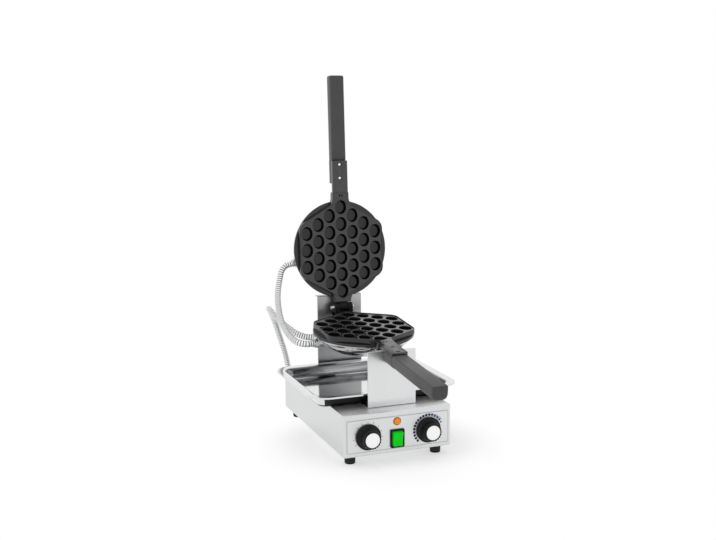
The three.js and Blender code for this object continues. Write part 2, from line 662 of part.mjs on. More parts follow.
function panShell() {
  const outer = panProfile(0);
  const inner = panProfile(pan.sheet);
  const top = discBottom - gap;
  const bottom = outer[outer.length - 1][1];
  const profile = [
    [0, bottom], ...outer.slice().reverse(), [pan.rimRadius, top], [pan.rimRadius - pan.sheet, top],
    ...inner, [0, bottom + pan.sheet],
  ];
  return solid(turned(profile, sideCounts.dish));
}

// A gland lies along a radius of the dish: its thread starts inside the wall's lowest cut, and its
// nut starts clear of the wall's widest point beside it
const threadStart = (port) => dishRadius(port.level + gland.threadRadius) - gland.sunk;
const threadLength = (port) => dishRadius(port.level - gland.nutRadius) + gap - threadStart(port);

function portMatrix(port) {
  const angle = THREE.MathUtils.degToRad(port.angle);
  const outward = new THREE.Vector3(Math.cos(angle), Math.sin(angle), 0);
  const up = new THREE.Vector3(0, 0, 1);
  const side = new THREE.Vector3().crossVectors(up, outward);
  const radius = threadStart(port);
  return new THREE.Matrix4().makeBasis(side, up, outward)
    .setPosition(outward.x * radius, outward.y * radius, -port.level);
}

// Radius of the dish's outside at a depth below the meeting plane
function dishRadius(level) {
  const outer = panProfile(0);
  for (let i = 0; i + 1 < outer.length; i += 1) {
    const [[r0, z0], [r1, z1]] = [outer[i], outer[i + 1]];
    if (-level <= z0 && -level >= z1) return r0 + (r1 - r0) * (-level - z0) / (z1 - z0);
  }
  return pan.rimRadius;
}

function glandGeometry(thread) {
  const [nutStart, nutEnd] = [thread, thread + gland.nutHeight];
  const glandLength = nutEnd + gland.sleeve;
  const profile = [
    [gland.bore, 0], [gland.threadRadius, 0], [gland.threadRadius, nutStart], [gland.nutRadius, nutStart],
    [gland.nutRadius, nutEnd], [gland.sleeveRadius, nutEnd], [gland.sleeveRadius, glandLength],
    [gland.bore, glandLength], [gland.bore, 0],
  ];
  return turned(profile, sideCounts.nut);
}

function portCut(port) {
  const hole = rodGeometry(gland.threadRadius + gap, -overrun, threadLength(port));
  return solid(hole.applyMatrix4(portMatrix(port)));
}

// The pan with its ports cut, its central screw, the heater and the glands
function makePan(group, name, ports, place) {
  const bottom = discBottom - gap - pan.deep;
  const screwHoleCut = rodZ(pan.screwRadius + gap, 0, 0, bottom - overrun, bottom + overrun,
    sideCounts.nut);
  const shell = cut(panShell(), screwHoleCut, ...ports.map(([, port]) => portCut(port)));
  addPiece(group, `${name}_pan`, place(shell), polished);
  const headTop = bottom - gap;
  const screwProfile = [
    [0, headTop - pan.screwHeadHigh], [pan.screwHead, headTop - pan.screwHeadHigh],
    [pan.screwHead, headTop],
    [pan.screwRadius, headTop], [pan.screwRadius, discBottom - gap], [0, discBottom - gap],
  ];
  addPiece(group, `${name}_pan_screw`, place(solid(turned(screwProfile, sideCounts.nut))), zinc);
  const ring = new THREE.TorusGeometry(heater.ringRadius, heater.tubeRadius, sideCounts.tube,
    sideCounts.knob)
    .translate(0, 0, discBottom - gap - heater.tubeRadius);
  addPiece(group, `${name}_heater`, place(solid(ring)), zinc);
  for (const [glandName, port] of ports) {
    const body = solid(glandGeometry(threadLength(port)).applyMatrix4(portMatrix(port)));
    addPiece(group, glandName, place(body), zinc);
  }
}

// Handle: a bar with a flat inner face, rounded back edges and a rebate under the casting's lug
function handleBody() {
  const half = grip.width / 2;
  const [top, bottom] = [-grip.flatSunk, -grip.flatSunk - grip.deep];
  const section = new THREE.Shape();
  const [roundX, roundZ] = [half - grip.backRound, bottom + grip.backRound];
  section.moveTo(half, top);
  section.lineTo(-half, top);
  section.absarc(-roundX, roundZ, grip.backRound, Math.PI, Math.PI * 1.5, false);
  section.absarc(roundX, roundZ, grip.backRound, -Math.PI / 2, 0, false);
  const bar = toFront(prism(section, grip.start, grip.end, segmentCounts.fine));
  const rebate = -casting.lug - grip.lugFit;
  const side = new THREE.Shape();
  side.moveTo(-grip.start, bottom - overrun);
  side.lineTo(-grip.start, rebate);
  side.lineTo(-casting.lugEnd - grip.lugFit, rebate);
  side.lineTo(-casting.lugEnd - grip.lugFit, top + overrun);
  side.lineTo(-grip.end, top + overrun);
  const [endY, endZ] = [-grip.end + grip.endRound, bottom + grip.endRound];
  side.absarc(endY, endZ, grip.endRound, Math.PI, Math.PI * 1.5, false);
  side.lineTo(endY, bottom - overrun);
  const sideSolid = prism(side, -grip.width, grip.width).applyMatrix4(new THREE.Matrix4().makeBasis(
    new THREE.Vector3(0, 1, 0), new THREE.Vector3(0, 0, 1), new THREE.Vector3(1, 0, 0),
  ));
  const holes = [gripScrew.first, gripScrew.second].map((at) => rodZ(gripScrew.shankRadius + gap, 0, -at,
    landTop - gripScrew.sunk - gripScrew.shank - gap, top + overrun, sideCounts.screw));
  return cut(solid(bar).intersect(solid(sideSolid)), ...holes);
}

function makeHandle(group, name, place) {
  addPiece(group, `${name}_handle`, place(handleBody()), bakelite);
  const seat = landTop - gripScrew.sunk + gap;
  const [tip, crown] = [seat - gripScrew.shank, seat + gripScrew.head];
  const profile = [
    [0, tip], [gripScrew.shankRadius, tip], [gripScrew.shankRadius, seat],
    [gripScrew.headRadius, seat], [gripScrew.headRadius, crown], [0, crown],
  ];
  for (const [side, at] of [['inner', gripScrew.first], ['outer', gripScrew.second]]) {
    const body = solid(turned(profile, sideCounts.screw).translate(0, -at, 0));
    addPiece(group, `${name}_handle_screw_${side}`, place(body), zinc);
  }
}

const axisGroup = new THREE.Group();
axisGroup.position.set(0, 0, mouldZ);
axisGroup.rotation.x = tilt;
machine.add(axisGroup);

const lidGroup = new THREE.Group();
lidGroup.position.set(0, hinge.back, hinge.rise);
lidGroup.rotation.x = -THREE.MathUtils.degToRad(mould.open);
axisGroup.add(lidGroup);

function makeLowerMould() {
  const hingeParts = lowerHinge();
  const body = cut(joined(halfCasting(), ...hingeParts.added), ...hingeParts.removed);
  addPiece(axisGroup, 'lower_plate', body, nonStick);
  const asDrawn = (piece) => piece;
  const ports = [['lower_supply_gland', supplyPort], ['lower_jumper_gland', jumperPort]];
  makePan(axisGroup, 'lower', ports, asDrawn);
  makeHandle(axisGroup, 'lower', asDrawn);

  const pinEnd = earOuter + gap;
  const pin = joined(
    rodX(hinge.pinRadius, hinge.back, hinge.rise, -earOuter - hinge.pinOut, pinEnd, sideCounts.turned),
    rodX(hinge.headRadius, hinge.back, hinge.rise, pinEnd, pinEnd + hinge.head, sideCounts.turned),
  );
  addPiece(axisGroup, 'hinge_pin', pin, zinc);

  const shaftStart = bossBack - pivot.socket + gap;
  const shaftEnd = rear.y + pivot.behind;
  addPiece(axisGroup, 'pivot_shaft', rodY(pivot.radius, 0, 0, shaftStart, shaftEnd), zinc);
  const nutEnd = shaftEnd - gap;
  const nutBore = pivot.radius + gap;
  const nutProfile = [
    [nutBore, 0], [pivot.nutRadius, 0], [pivot.nutRadius, pivot.nutHeight], [nutBore, pivot.nutHeight],
    [nutBore, 0],
  ];
  const nut = toBack(turned(nutProfile, sideCounts.nut)).translate(0, nutEnd - pivot.nutHeight, 0);
  addPiece(axisGroup, 'pivot_nut', nut, zinc);
}

function makeUpperMould() {
  const toLid = (body) => {
    const geometry = geometryOf(body);
    geometry.translate(0, -hinge.back, -hinge.rise);
    return geometry;
  };
  const flipped = (body) => toLid(mirrored(body));
  const hingeParts = upperHinge();
  const plate = cut(joined(mirrored(halfCasting()), ...hingeParts.added), ...hingeParts.removed);
  addPiece(lidGroup, 'upper_plate', toLid(plate), nonStick);
  makePan(lidGroup, 'upper', [['upper_jumper_gland', lidPort]], flipped);
  makeHandle(lidGroup, 'upper', flipped);
}

// Outlets in the back of the base
function makeOutlets() {
  const supply = toBack(glandGeometry(gland.thread))
    .translate(supplyX, backY + gap - gland.thread, deckZ - supplyOutlet.belowDeck);
  addPiece(machine, 'supply_gland', supply, zinc);
  const m = mainsOutlet;
  const profile = [
    [m.bore, -m.thread], [m.threadRadius, -m.thread], [m.threadRadius, gap], [m.nutRadius, gap],
    [m.nutRadius, m.nutHeight],
    [m.domeRadius, m.nutHeight], [m.domeRadius, m.dome], [m.bore, m.dome], [m.bore, -m.thread],
  ];
  const mainsGland = toBack(turned(profile, sideCounts.nut)).translate(mainsX, backY, deckZ - m.belowDeck);
  addPiece(machine, 'mains_gland', mainsGland, blackPlastic);
}

// Ribbed steel conduits, as points of a route in the machine's own frame, from gland to gland
const supplyRoute = [
  [-82, 206.5, 64], [-82, 213, 64], [-82, 219.7, 64], [-82, 233, 68], [-82.5, 244, 78], [-84, 250, 94],
  [-88, 249, 113], [-95, 243, 135], [-108, 230, 168], [-122, 213, 201], [-137, 192, 228],
  [-148, 166, 240.5],
  [-151, 142, 240], [-147, 122, 231.5], [-139, 105, 221.5], [-130, 90, 213], [-118, 73, 203.5],
  [-102.1, 60.4, 197.7], [-96.4, 57.2, 197.4], [-90.6, 54, 197.1],
];
const jumperRoute = [
  [-101.3, 151.2, 334.4], [-107.8, 151.1, 332.7], [-114.1, 151, 331], [-123.5, 147.5, 322.5],
  [-131, 140, 305], [-138, 129, 286], [-143, 116, 268], [-146, 100, 251], [-148, 80, 234.5],
  [-147.5, 60, 221.5], [-145, 42, 211.5],
  [-140, 26, 203.5], [-132, 10, 198.5], [-118.9, 2.6, 196.5], [-112, 2.6, 196.5], [-105.7, 2.6, 196.5],
];

function ribbedTube(route) {
  const curve = new THREE.CatmullRomCurve3(route.map((p) => new THREE.Vector3(...p)), false, 'centripetal');
  const ribs = Math.round(curve.getLength() / conduit.pitch / conduit.boreRibCount) * conduit.boreRibCount;
  const frames = curve.computeFrenetFrames(ribs * 2, false);
  const ring = (i, radius) => {
    const centre = curve.getPointAt(i / (ribs * 2));
    const points = [];
    for (let k = 0; k < conduit.sideCount; k += 1) {
      const angle = (k / conduit.sideCount) * Math.PI * 2;
      const p = centre.clone();
      p.addScaledVector(frames.normals[i], Math.cos(angle) * radius);
      p.addScaledVector(frames.binormals[i], Math.sin(angle) * radius);
      points.push(p.toArray());
    }
    return points;
  };
  const rings = [];
  for (let i = 0; i <= ribs * 2; i += 1) rings.push(ring(i, i % 2 ? conduit.radius : conduit.root));
  const boreStep = conduit.boreRibCount * 2;
  for (let i = ribs * 2; i >= 0; i -= boreStep) rings.push(ring(i, conduit.bore));
  const count = conduit.sideCount;
  const index = [];
  for (let r = 0; r < rings.length; r += 1) {
    const next = (r + 1) % rings.length;
    for (let i = 0; i < count; i += 1) {
      const j = (i + 1) % count;
      const [a, b, c, d] = [r * count + i, r * count + j, next * count + i, next * count + j];
      index.push(a, b, c, b, d, c);
    }
  }
  const geometry = new THREE.BufferGeometry();
  geometry.setAttribute('position', new THREE.Float32BufferAttribute(rings.flat(2), 3));
  geometry.setIndex(index);
  return geometry;
}

makeBase();
makeControlPanel();
makeControl('timer', -knob.spacing / 2, timer);
makeControl('thermostat', knob.spacing / 2, thermostat);
makeRocker();
makeLamp();
makeTerminalBlock();
makeFrontBracket();
makeRearBracket();
makeTray();
makeLowerMould();
makeUpperMould();
makeOutlets();

// The middle of everything but the conduits goes over the origin
machine.updateMatrixWorld(true);
const extent = new THREE.Box3().setFromObject(machine, true);
addPiece(machine, 'supply_conduit', ribbedTube(supplyRoute), polished);
addPiece(machine, 'jumper_conduit', ribbedTube(jumperRoute), polished);
machine.position.y = -(extent.min.y + extent.max.y) / 2;

export default machine;
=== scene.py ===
"""Countertop bubble waffle maker: steel base with controls, two brackets, a drip tray, and a cast
mould of two hinged halves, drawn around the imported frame.

Shapes are worked out in millimetres and turned into metres where they become a mesh. The mould's
pieces are drawn as the lower half, with the plane where the halves meet at z = 0 and the handle
towards -y. The upper half is the same drawing mirrored in that plane and swung open.
"""
import itertools
import json
import math

import bmesh
import bpy
import numpy as np
from mathutils import Matrix, Vector


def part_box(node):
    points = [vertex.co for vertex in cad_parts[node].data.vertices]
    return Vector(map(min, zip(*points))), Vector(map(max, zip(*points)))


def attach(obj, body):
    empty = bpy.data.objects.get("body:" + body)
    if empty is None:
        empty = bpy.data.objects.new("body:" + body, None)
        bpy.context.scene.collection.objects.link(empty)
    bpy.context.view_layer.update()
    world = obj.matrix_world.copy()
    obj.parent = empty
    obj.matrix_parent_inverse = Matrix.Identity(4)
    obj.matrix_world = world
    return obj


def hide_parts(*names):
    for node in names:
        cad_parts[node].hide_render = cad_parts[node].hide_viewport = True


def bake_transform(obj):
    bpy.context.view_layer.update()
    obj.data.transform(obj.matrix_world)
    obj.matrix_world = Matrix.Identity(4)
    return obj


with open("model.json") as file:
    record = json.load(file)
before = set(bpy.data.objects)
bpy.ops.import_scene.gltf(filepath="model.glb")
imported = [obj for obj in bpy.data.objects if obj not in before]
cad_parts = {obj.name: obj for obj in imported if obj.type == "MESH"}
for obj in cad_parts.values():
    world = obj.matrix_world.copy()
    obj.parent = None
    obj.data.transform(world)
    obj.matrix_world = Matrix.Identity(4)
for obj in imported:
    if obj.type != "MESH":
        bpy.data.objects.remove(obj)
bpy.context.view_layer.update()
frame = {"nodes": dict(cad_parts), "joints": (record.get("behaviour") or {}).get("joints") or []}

MM = 0.001
FULL_TURN = 2 * math.pi
SIXTH = FULL_TURN / 6
TINY = 1e-9

# Places


def moved(x=0.0, y=0.0, z=0.0):
    """A matrix that only moves."""
    matrix = np.eye(4)
    matrix[:3, 3] = (x, y, z)
    return matrix


def swung(axis, degrees):
    """A right-handed turn about one axis."""
    first, second = {"X": (1, 2), "Y": (2, 0), "Z": (0, 1)}[axis]
    angle = math.radians(degrees)
    matrix = np.eye(4)
    matrix[first, first] = matrix[second, second] = math.cos(angle)
    matrix[first, second] = -math.sin(angle)
    matrix[second, first] = math.sin(angle)
    return matrix


def node_box(node):
    """The lowest corner, highest corner and middle of a CAD node, in millimetres."""
    low, high = (np.array(corner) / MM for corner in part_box(node))
    return low, high, (low + high) / 2


joints = {joint["name"]: joint for joint in frame["joints"]}
flip, lid = joints["mould_flip"], joints["lid_hinge"]
TILT = math.degrees(math.atan2(flip["axis"][2], flip["axis"][1]))
OPENING = lid["range_deg"][1]
HINGE_BACK, HINGE_RISE = 121.6, 5.2

IDENTITY = np.eye(4)
MIRROR = np.diag([1.0, 1.0, -1.0, 1.0])
MOULD = moved(*(np.array(flip["pos_m"]) / MM)) @ swung("X", TILT)
LID = (MOULD @ moved(0, HINGE_BACK, HINGE_RISE) @ swung("X", -OPENING)
       @ moved(0, -HINGE_BACK, -HINGE_RISE))
UPPER = LID @ MIRROR
FORWARD = swung("X", 90)
ALONG_X = swung("Y", 90)
ALONG_Y = swung("X", -90)
SIDEWAYS = np.eye(4)
SIDEWAYS[:3, :3] = np.array([[0, 0, 1], [1, 0, 0], [0, 1, 0]])


def placed(points, matrix):
    """Points after a matrix: p' = R p + t."""
    return points @ matrix[:3, :3].T + matrix[:3, 3]


def turn_steps(count):
    """Even angles round a full turn."""
    return np.linspace(0, FULL_TURN, count, endpoint=False)


def rays(angle):
    """Unit vectors (cos a, sin a)."""
    return np.stack([np.cos(angle), np.sin(angle)], axis=-1)


def turned(radius, height, angle):
    """Rows of points about z, (r cos a, r sin a, h), with one height for each row."""
    x, y = radius * np.cos(angle), radius * np.sin(angle)
    return np.stack([x, y, np.broadcast_to(height, x.shape)], axis=-1)


def hexagon_reach(flat, angle):
    """From a hexagon's middle to its outline: (flat / 2) / cos(angle to the nearest flat)."""
    to_flat = np.mod(angle + SIXTH / 2, SIXTH) - SIXTH / 2
    return flat / 2 / np.cos(to_flat)


def columns(profile):
    """A profile's two columns, each as one value a row."""
    return (column[:, None] for column in np.asarray(profile, float).T)


# Shapes, each a pair (points, faces)


def surface(points, close_rows=False, wrap=True, cap_first=False, cap_last=False):
    """Quads over points[row, column]. A wrapped row joins its own ends, closed rows join the last
    row to the first, and a cap closes a row with a fan about its middle."""
    rows, columns = points.shape[:2]
    index = np.arange(rows * columns).reshape(rows, columns)
    if wrap:
        index = np.concatenate([index, index[:, :1]], axis=1)
    if close_rows:
        index = np.concatenate([index, index[:1]], axis=0)
    corners = (index[:-1, :-1], index[:-1, 1:], index[1:, 1:], index[1:, :-1])
    faces = np.stack(corners, axis=-1).reshape(-1, 4).tolist()
    flat = [points.reshape(-1, 3)]
    count = rows * columns
    for wanted, row, step in ((cap_first, 0, -1), (cap_last, -1, 1)):
        if wanted:
            edge = index[row]
            fan = np.stack([edge[:-1], edge[1:], np.full(len(edge) - 1, count)], axis=-1)
            faces += fan[:, ::step].tolist()
            flat.append(points[row].mean(axis=0)[None])
            count += 1
    return np.concatenate(flat), faces


def joined(*shapes):
    """Several shapes as one, with the later ones' face numbers moved up."""
    points, faces, count = [], [], 0
    for some_points, some_faces in shapes:
        points.append(some_points)
        faces += [[corner + count for corner in face] for face in some_faces]
        count += len(some_points)
    return np.concatenate(points), faces


def at(shape, matrix):
    """A shape after a matrix, with its faces turned round where the matrix mirrors."""
    points, faces = shape
    if np.linalg.det(matrix[:3, :3]) < 0:
        faces = [face[::-1] for face in faces]
    return placed(points, matrix), faces


def rounded(corners, radii, steps=5, closed=False):
    """A polyline with softened corners. Corner C becomes (1-s)^2 A + 2 s (1-s) C + s^2 B, where A
    and B lie at its radius along its two sides, less than half a side away."""
    corners = np.asarray(corners, float)
    radii = np.broadcast_to(np.asarray(radii, float), (len(corners),)).copy()
    if not closed:
        radii[[0, -1]] = 0
    before = np.roll(corners, 1, axis=0) - corners
    after = np.roll(corners, -1, axis=0) - corners
    reach_before, reach_after = np.linalg.norm(before, axis=1), np.linalg.norm(after, axis=1)
    most, shortest = 0.49, 1e-6
    reach = np.minimum(radii, most * np.minimum(reach_before, reach_after))[:, None]
    first = corners + before / np.maximum(reach_before, TINY)[:, None] * reach
    last = corners + after / np.maximum(reach_after, TINY)[:, None] * reach
    s = np.linspace(0, 1, steps + 1)[None, :, None]
    curve = (1 - s) ** 2 * first[:, None] + 2 * s * (1 - s) * corners[:, None] + s ** 2 * last[:, None]
    curve = curve.reshape(-1, corners.shape[1])
    keep = np.linalg.norm(curve - np.roll(curve, 1, axis=0), axis=1) > shortest
    keep[0] = keep[0] or not closed
    return curve[keep]


def lathe(profile, sides=48, capped=True):
    """A profile of (radius, height) rows turned about z: (r cos a, r sin a, h)."""
    radius, height = columns(profile)
    points = turned(radius, height, turn_steps(sides))
    return surface(points, cap_first=capped, cap_last=capped, close_rows=not capped)


def moulding(profile, half_x, half_y, corner, steps=6, capped=True):
    """A profile of (inset, height) rows carried round a rectangle with rounded corners. At the
    inset d the half sides are less by d, and the corner's radius r becomes max(r - d, least)."""
    inset, height = (column[:, None] for column in columns(profile))
    least = 0.05
    radius = np.maximum(corner - inset, least)
    angle = np.arange(4)[:, None] * FULL_TURN / 4 + np.linspace(0, FULL_TURN / 4, steps + 1)
    side_x = np.array([1, -1, -1, 1])[:, None]
    side_y = np.array([1, 1, -1, -1])[:, None]
    x = side_x * (half_x - inset - radius) + radius * np.cos(angle)
    y = side_y * (half_y - inset - radius) + radius * np.sin(angle)
    points = np.stack([x, y, np.broadcast_to(height, x.shape)], axis=-1)
    points = points.reshape(len(inset), -1, 3)
    return surface(points, cap_first=capped, cap_last=capped, close_rows=not capped)


def prism(outline, start, end):
    """A flat outline of (x, y) points pushed along z from start to end."""
    outline = np.asarray(outline, float)
    count = len(outline)
    levels = np.repeat([start, end], count)[:, None]
    points = np.concatenate([np.tile(outline, (2, 1)), levels], axis=1)
    ring = np.arange(count)
    following = np.roll(ring, -1)
    faces = np.stack([ring, following, following + count, ring + count], axis=-1).tolist()
    return points, faces + [ring[::-1].tolist(), (ring + count).tolist()]


def box(low, high):
    """A box between its lowest and its highest corner."""
    (x0, y0, z0), (x1, y1, z1) = low, high
    return prism([(x0, y0), (x1, y0), (x1, y1), (x0, y1)], z0, z1)


def arc(centre, radius, start, end, steps):
    """Points of a circle from one angle to another, in degrees."""
    return centre + radius * rays(np.radians(np.linspace(start, end, steps + 1)))


def hexagonal(profile, flat, sides=72):
    """A turned profile held inside a hexagon: r = min(profile, hexagon)."""
    radius, height = columns(profile)
    angle = turn_steps(sides)
    points = turned(np.minimum(radius, hexagon_reach(flat, angle)), height, angle)
    return surface(points, cap_first=True, cap_last=True)


def screw_head(radius, height, sides=64, crown_rows=16):
    """A domed head on z = 0 with a cross recess. The crown is z = h (1 - drop (r/R)^3), less the
    recess where the smaller of |x| and |y| is under the arm's half width and r under its length."""
    drop, first_share = 0.4, 0.02
    share = np.linspace(first_share, 1, crown_rows)[:, None]
    angle = turn_steps(sides)
    x, y = radius * share * np.cos(angle), radius * share * np.sin(angle)
    arm_half, arm_length, depth = 0.13 * radius, 0.62 * radius, 0.45 * height
    side_blend, end_blend = 0.02 * radius, 0.03 * radius
    across = np.minimum(np.abs(x), np.abs(y))
    along = np.hypot(x, y)
    inside = (1 / (1 + np.exp((across - arm_half) / side_blend))
              / (1 + np.exp((along - arm_length) / end_blend)))
    z = height * (1 - drop * share ** 3) - depth * inside
    crown = np.stack([x, y, z], axis=-1)
    foot = crown[-1:] * np.array([1, 1, 0])
    return surface(np.concatenate([crown, foot]), cap_first=True, cap_last=True)


# From shape to piece

MERGE_DISTANCE, WELD_DISTANCE = 2e-6, 1e-5


def object_from(name, shape, recalculate=True):
    """A mesh object in metres, with the points that coincide merged."""
    points, faces = shape
    mesh = bpy.data.meshes.new(name)
    mesh.from_pydata((points * MM).tolist(), [], faces)
    work = bmesh.new()
    work.from_mesh(mesh)
    bmesh.ops.remove_doubles(work, verts=work.verts, dist=MERGE_DISTANCE)
    if recalculate:
        bmesh.ops.recalc_face_normals(work, faces=work.faces)
    work.to_mesh(mesh)
    work.free()
    obj = bpy.data.objects.new(name, mesh)
    bpy.context.scene.collection.objects.link(obj)
    return obj


def carve(obj, cutters):
    """Takes the space of some shapes out of a piece."""
    cutter = object_from("cutter", joined(*cutters))
    modifier = obj.modifiers.new("carve", "BOOLEAN")
    modifier.operation = "DIFFERENCE"
    modifier.solver = "EXACT"
    modifier.object = cutter
    bpy.context.view_layer.update()
    depsgraph = bpy.context.evaluated_depsgraph_get()
    result = bpy.data.meshes.new_from_object(obj.evaluated_get(depsgraph))
    obj.modifiers.clear()
    obj.data = result
    bpy.data.objects.remove(cutter)


def set_down(mesh, place):
    """Moves a mesh to its place, and turns its faces round where the place mirrors."""
    points = np.empty(len(mesh.vertices) * 3)
    mesh.vertices.foreach_get("co", points)
    points = placed(points.reshape(-1, 3) / MM, place) * MM
    mesh.vertices.foreach_set("co", points.ravel())
    if np.linalg.det(place[:3, :3]) < 0:
        mesh.flip_normals()
    mesh.update()


def piece(name, shape, finish, body, nodes=(), place=IDENTITY, cuts=(), bevel=0.0,
          sharp=35.0, closed=True):
    """One finished object. Edges are either bevelled, or smooth up to the sharp angle. Cuts are
    made before the piece is set down in its place."""
    if cuts:
        obj = object_from(name, shape, recalculate=closed)
        carve(obj, cuts)
        set_down(obj.data, place)
    else:
        obj = object_from(name, at(shape, place), recalculate=closed)
    mesh = obj.data
    mesh.polygons.foreach_set("use_smooth", np.ones(len(mesh.polygons), bool))
    if bevel:
        soften(obj, bevel)
    else:
        mesh.set_sharp_from_angle(angle=math.radians(sharp))
    mesh.materials.clear()
    mesh.materials.append(finish)
    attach(obj, body)
    if nodes:
        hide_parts(*nodes)
    return obj


def face_numbers(obj):
    """The middle and the normal of every face, in millimetres and as unit vectors."""
    count = len(obj.data.polygons)
    middles, normals = np.empty(count * 3), np.empty(count * 3)
    obj.data.polygons.foreach_get("center", middles)
    obj.data.polygons.foreach_get("normal", normals)
    return middles.reshape(-1, 3) / MM, normals.reshape(-1, 3)


def dress(obj, *finishes_and_faces):
    """Further finishes on a piece, each on the faces that its mask picks."""
    chosen = np.zeros(len(obj.data.polygons), np.int32)
    for number, (finish, faces) in enumerate(finishes_and_faces, 1):
        obj.data.materials.append(finish)
        chosen[faces] = number
    obj.data.polygons.foreach_set("material_index", chosen)


def soften(obj, width, segments=2, angle=30.0):
    """Rounds the edges that turn by more than an angle, with a width in millimetres."""
    modifier = obj.modifiers.new("edges", "BEVEL")
    modifier.width = width * MM
    modifier.segments = segments
    modifier.limit_method = "ANGLE"
    modifier.angle_limit = math.radians(angle)
    modifier.harden_normals = True


def keep_node(node, finish, bevel=0.3):
    """A CAD node that stays in view: welded, with soft edges and its own finish."""
    obj = frame["nodes"][node]
    obj.data.polygons.foreach_set("use_smooth", np.ones(len(obj.data.polygons), bool))
    weld = obj.modifiers.new("weld", "WELD")
    weld.merge_threshold = WELD_DISTANCE
    soften(obj, bevel)
    obj.data.materials.clear()
    obj.data.materials.append(finish)


# Finishes


def add_node(tree, kind, output, inputs, **settings):
    """Adds a shader node, gives each input a value or a link, and returns one of its outputs."""
    node = tree.nodes.new(kind)
    for setting, value in settings.items():
        setattr(node, setting, value)
    for socket, value in inputs.items():
        if isinstance(value, bpy.types.NodeSocket):
            tree.links.new(value, node.inputs[socket])
        else:
            node.inputs[socket].default_value = value
    return node.outputs[output]


def surface_finish(name, colour, metallic, roughness, grain=(60, 60, 60), colour_spread=0.06,
                   rough_spread=0.08, bump=0.1, bump_scale=900.0, bump_depth=0.00002,
                   edge_wear_and_sheen=None, groove=None, bump_stretch=(1, 1, 1), **sockets):
    """A plain finish with its own small changes: a broad noise moves the colour and the roughness, and
    a fine one gives the bump. Where an edge colour is given, edges lighten towards it by pointiness,
    partly as wear and partly as a painted highlight along ridges and rims, and where groove is given,
    the mesh's own groove value darkens the finish towards it as painted shade in the grooves."""
    wear_and_sheen_start, wear_and_sheen_full, wear_and_sheen_most, least_rough = 0.53, 0.62, 0.5, 0.02
    material = bpy.data.materials.new(name)
    material.use_nodes = True
    tree = material.node_tree
    shader = tree.nodes["Principled BSDF"]
    shader.inputs["Metallic"].default_value = metallic
    for socket, value in sockets.items():
        shader.inputs[socket.replace("_", " ")].default_value = value
    place = add_node(tree, "ShaderNodeTexCoord", "Object", {})

    def noise(scale, detail, stretch):
        stretched = add_node(tree, "ShaderNodeMapping", "Vector", {"Scale": stretch, "Vector": place})
        return add_node(tree, "ShaderNodeTexNoise", "Fac",
                        {"Scale": scale, "Detail": detail, "Vector": stretched})

    def mixed(factor, first, second):
        return add_node(tree, "ShaderNodeMix", "Result", {"Factor": factor, "A": first, "B": second},
                        data_type="RGBA")

    broad = noise(1.0, 4.0, grain)
    fine = noise(bump_scale, 3.0, bump_stretch)
    dark = tuple(channel * (1 - colour_spread) for channel in colour) + (1,)
    light = tuple(min(channel * (1 + colour_spread), 1) for channel in colour) + (1,)
    base = mixed(broad, dark, light)
    # Edge lightening by pointiness: partly wear, partly a painted highlight along ridges and rims.
    if edge_wear_and_sheen:
        geometry = tree.nodes.new("ShaderNodeNewGeometry")
        edge = add_node(tree, "ShaderNodeMapRange", "Result",
                        {"Value": geometry.outputs["Pointiness"], "From Min": wear_and_sheen_start,
                         "From Max": wear_and_sheen_full, "To Max": wear_and_sheen_most})
        base = mixed(edge, base, edge_wear_and_sheen + (1,))
    # Painted shade: the groove value darkens the colour between a hose's ribs.
    if groove:
        depth = add_node(tree, "ShaderNodeAttribute", "Fac", {}, attribute_name="groove")
        base = mixed(depth, base, groove + (1,))
    tree.links.new(base, shader.inputs["Base Color"])
    rough = add_node(tree, "ShaderNodeMapRange", "Result",
                     {"Value": broad, "To Min": max(roughness - rough_spread, least_rough),
                      "To Max": roughness + rough_spread})
    tree.links.new(rough, shader.inputs["Roughness"])
    relief = add_node(tree, "ShaderNodeBump", "Normal",
                      {"Strength": bump, "Distance": bump_depth, "Height": fine})
    tree.links.new(relief, shader.inputs["Normal"])
    return material


satin_steel = surface_finish("satin_steel", (0.7, 0.705, 0.71), 1.0, 0.34, grain=(9, 9, 60),
                             colour_spread=0.03, rough_spread=0.05, bump=0.08,
                             bump_scale=300.0, bump_stretch=(0.12, 0.12, 5))
panel_steel = surface_finish("panel_steel", (0.71, 0.715, 0.72), 1.0, 0.36, grain=(8, 8, 40),
                             colour_spread=0.02, rough_spread=0.04, bump=0.06,
                             bump_scale=260.0, bump_stretch=(0.12, 0.12, 5))
bracket_steel = surface_finish("bracket_steel", (0.73, 0.735, 0.74), 1.0, 0.26, grain=(30, 30, 8),
                               colour_spread=0.03, rough_spread=0.05, bump=0.08,
                               bump_scale=260.0, bump_stretch=(5, 5, 0.12))
# Painted light: a lighter copy of the housing's own steel, laid only on the deck's top faces.
deck_painted_light_steel = surface_finish("deck_painted_light_steel", (0.9, 0.905, 0.91), 1.0, 0.5, grain=(9, 60, 9),
                            colour_spread=0.03, rough_spread=0.03, bump=0.08,
                            bump_scale=300.0, bump_stretch=(0.12, 5, 0.12))
# Painted shade and reflection: a darker copy of the brackets' steel, standing in for the dark plates
# that the rear bracket mirrors.
rear_bracket_painted_shade = surface_finish("rear_bracket_painted_shade_steel", (0.46, 0.465, 0.47), 1.0, 0.3, grain=(30, 30, 8),
                            rough_spread=0.05, bump=0.08, bump_scale=260.0,
                            bump_stretch=(5, 5, 0.12))
tray_steel = surface_finish("tray_steel", (0.74, 0.745, 0.75), 1.0, 0.08, grain=(20, 20, 20),
                            colour_spread=0.015, rough_spread=0.03, bump=0.05, bump_scale=40.0,
                            bump_depth=0.0001)
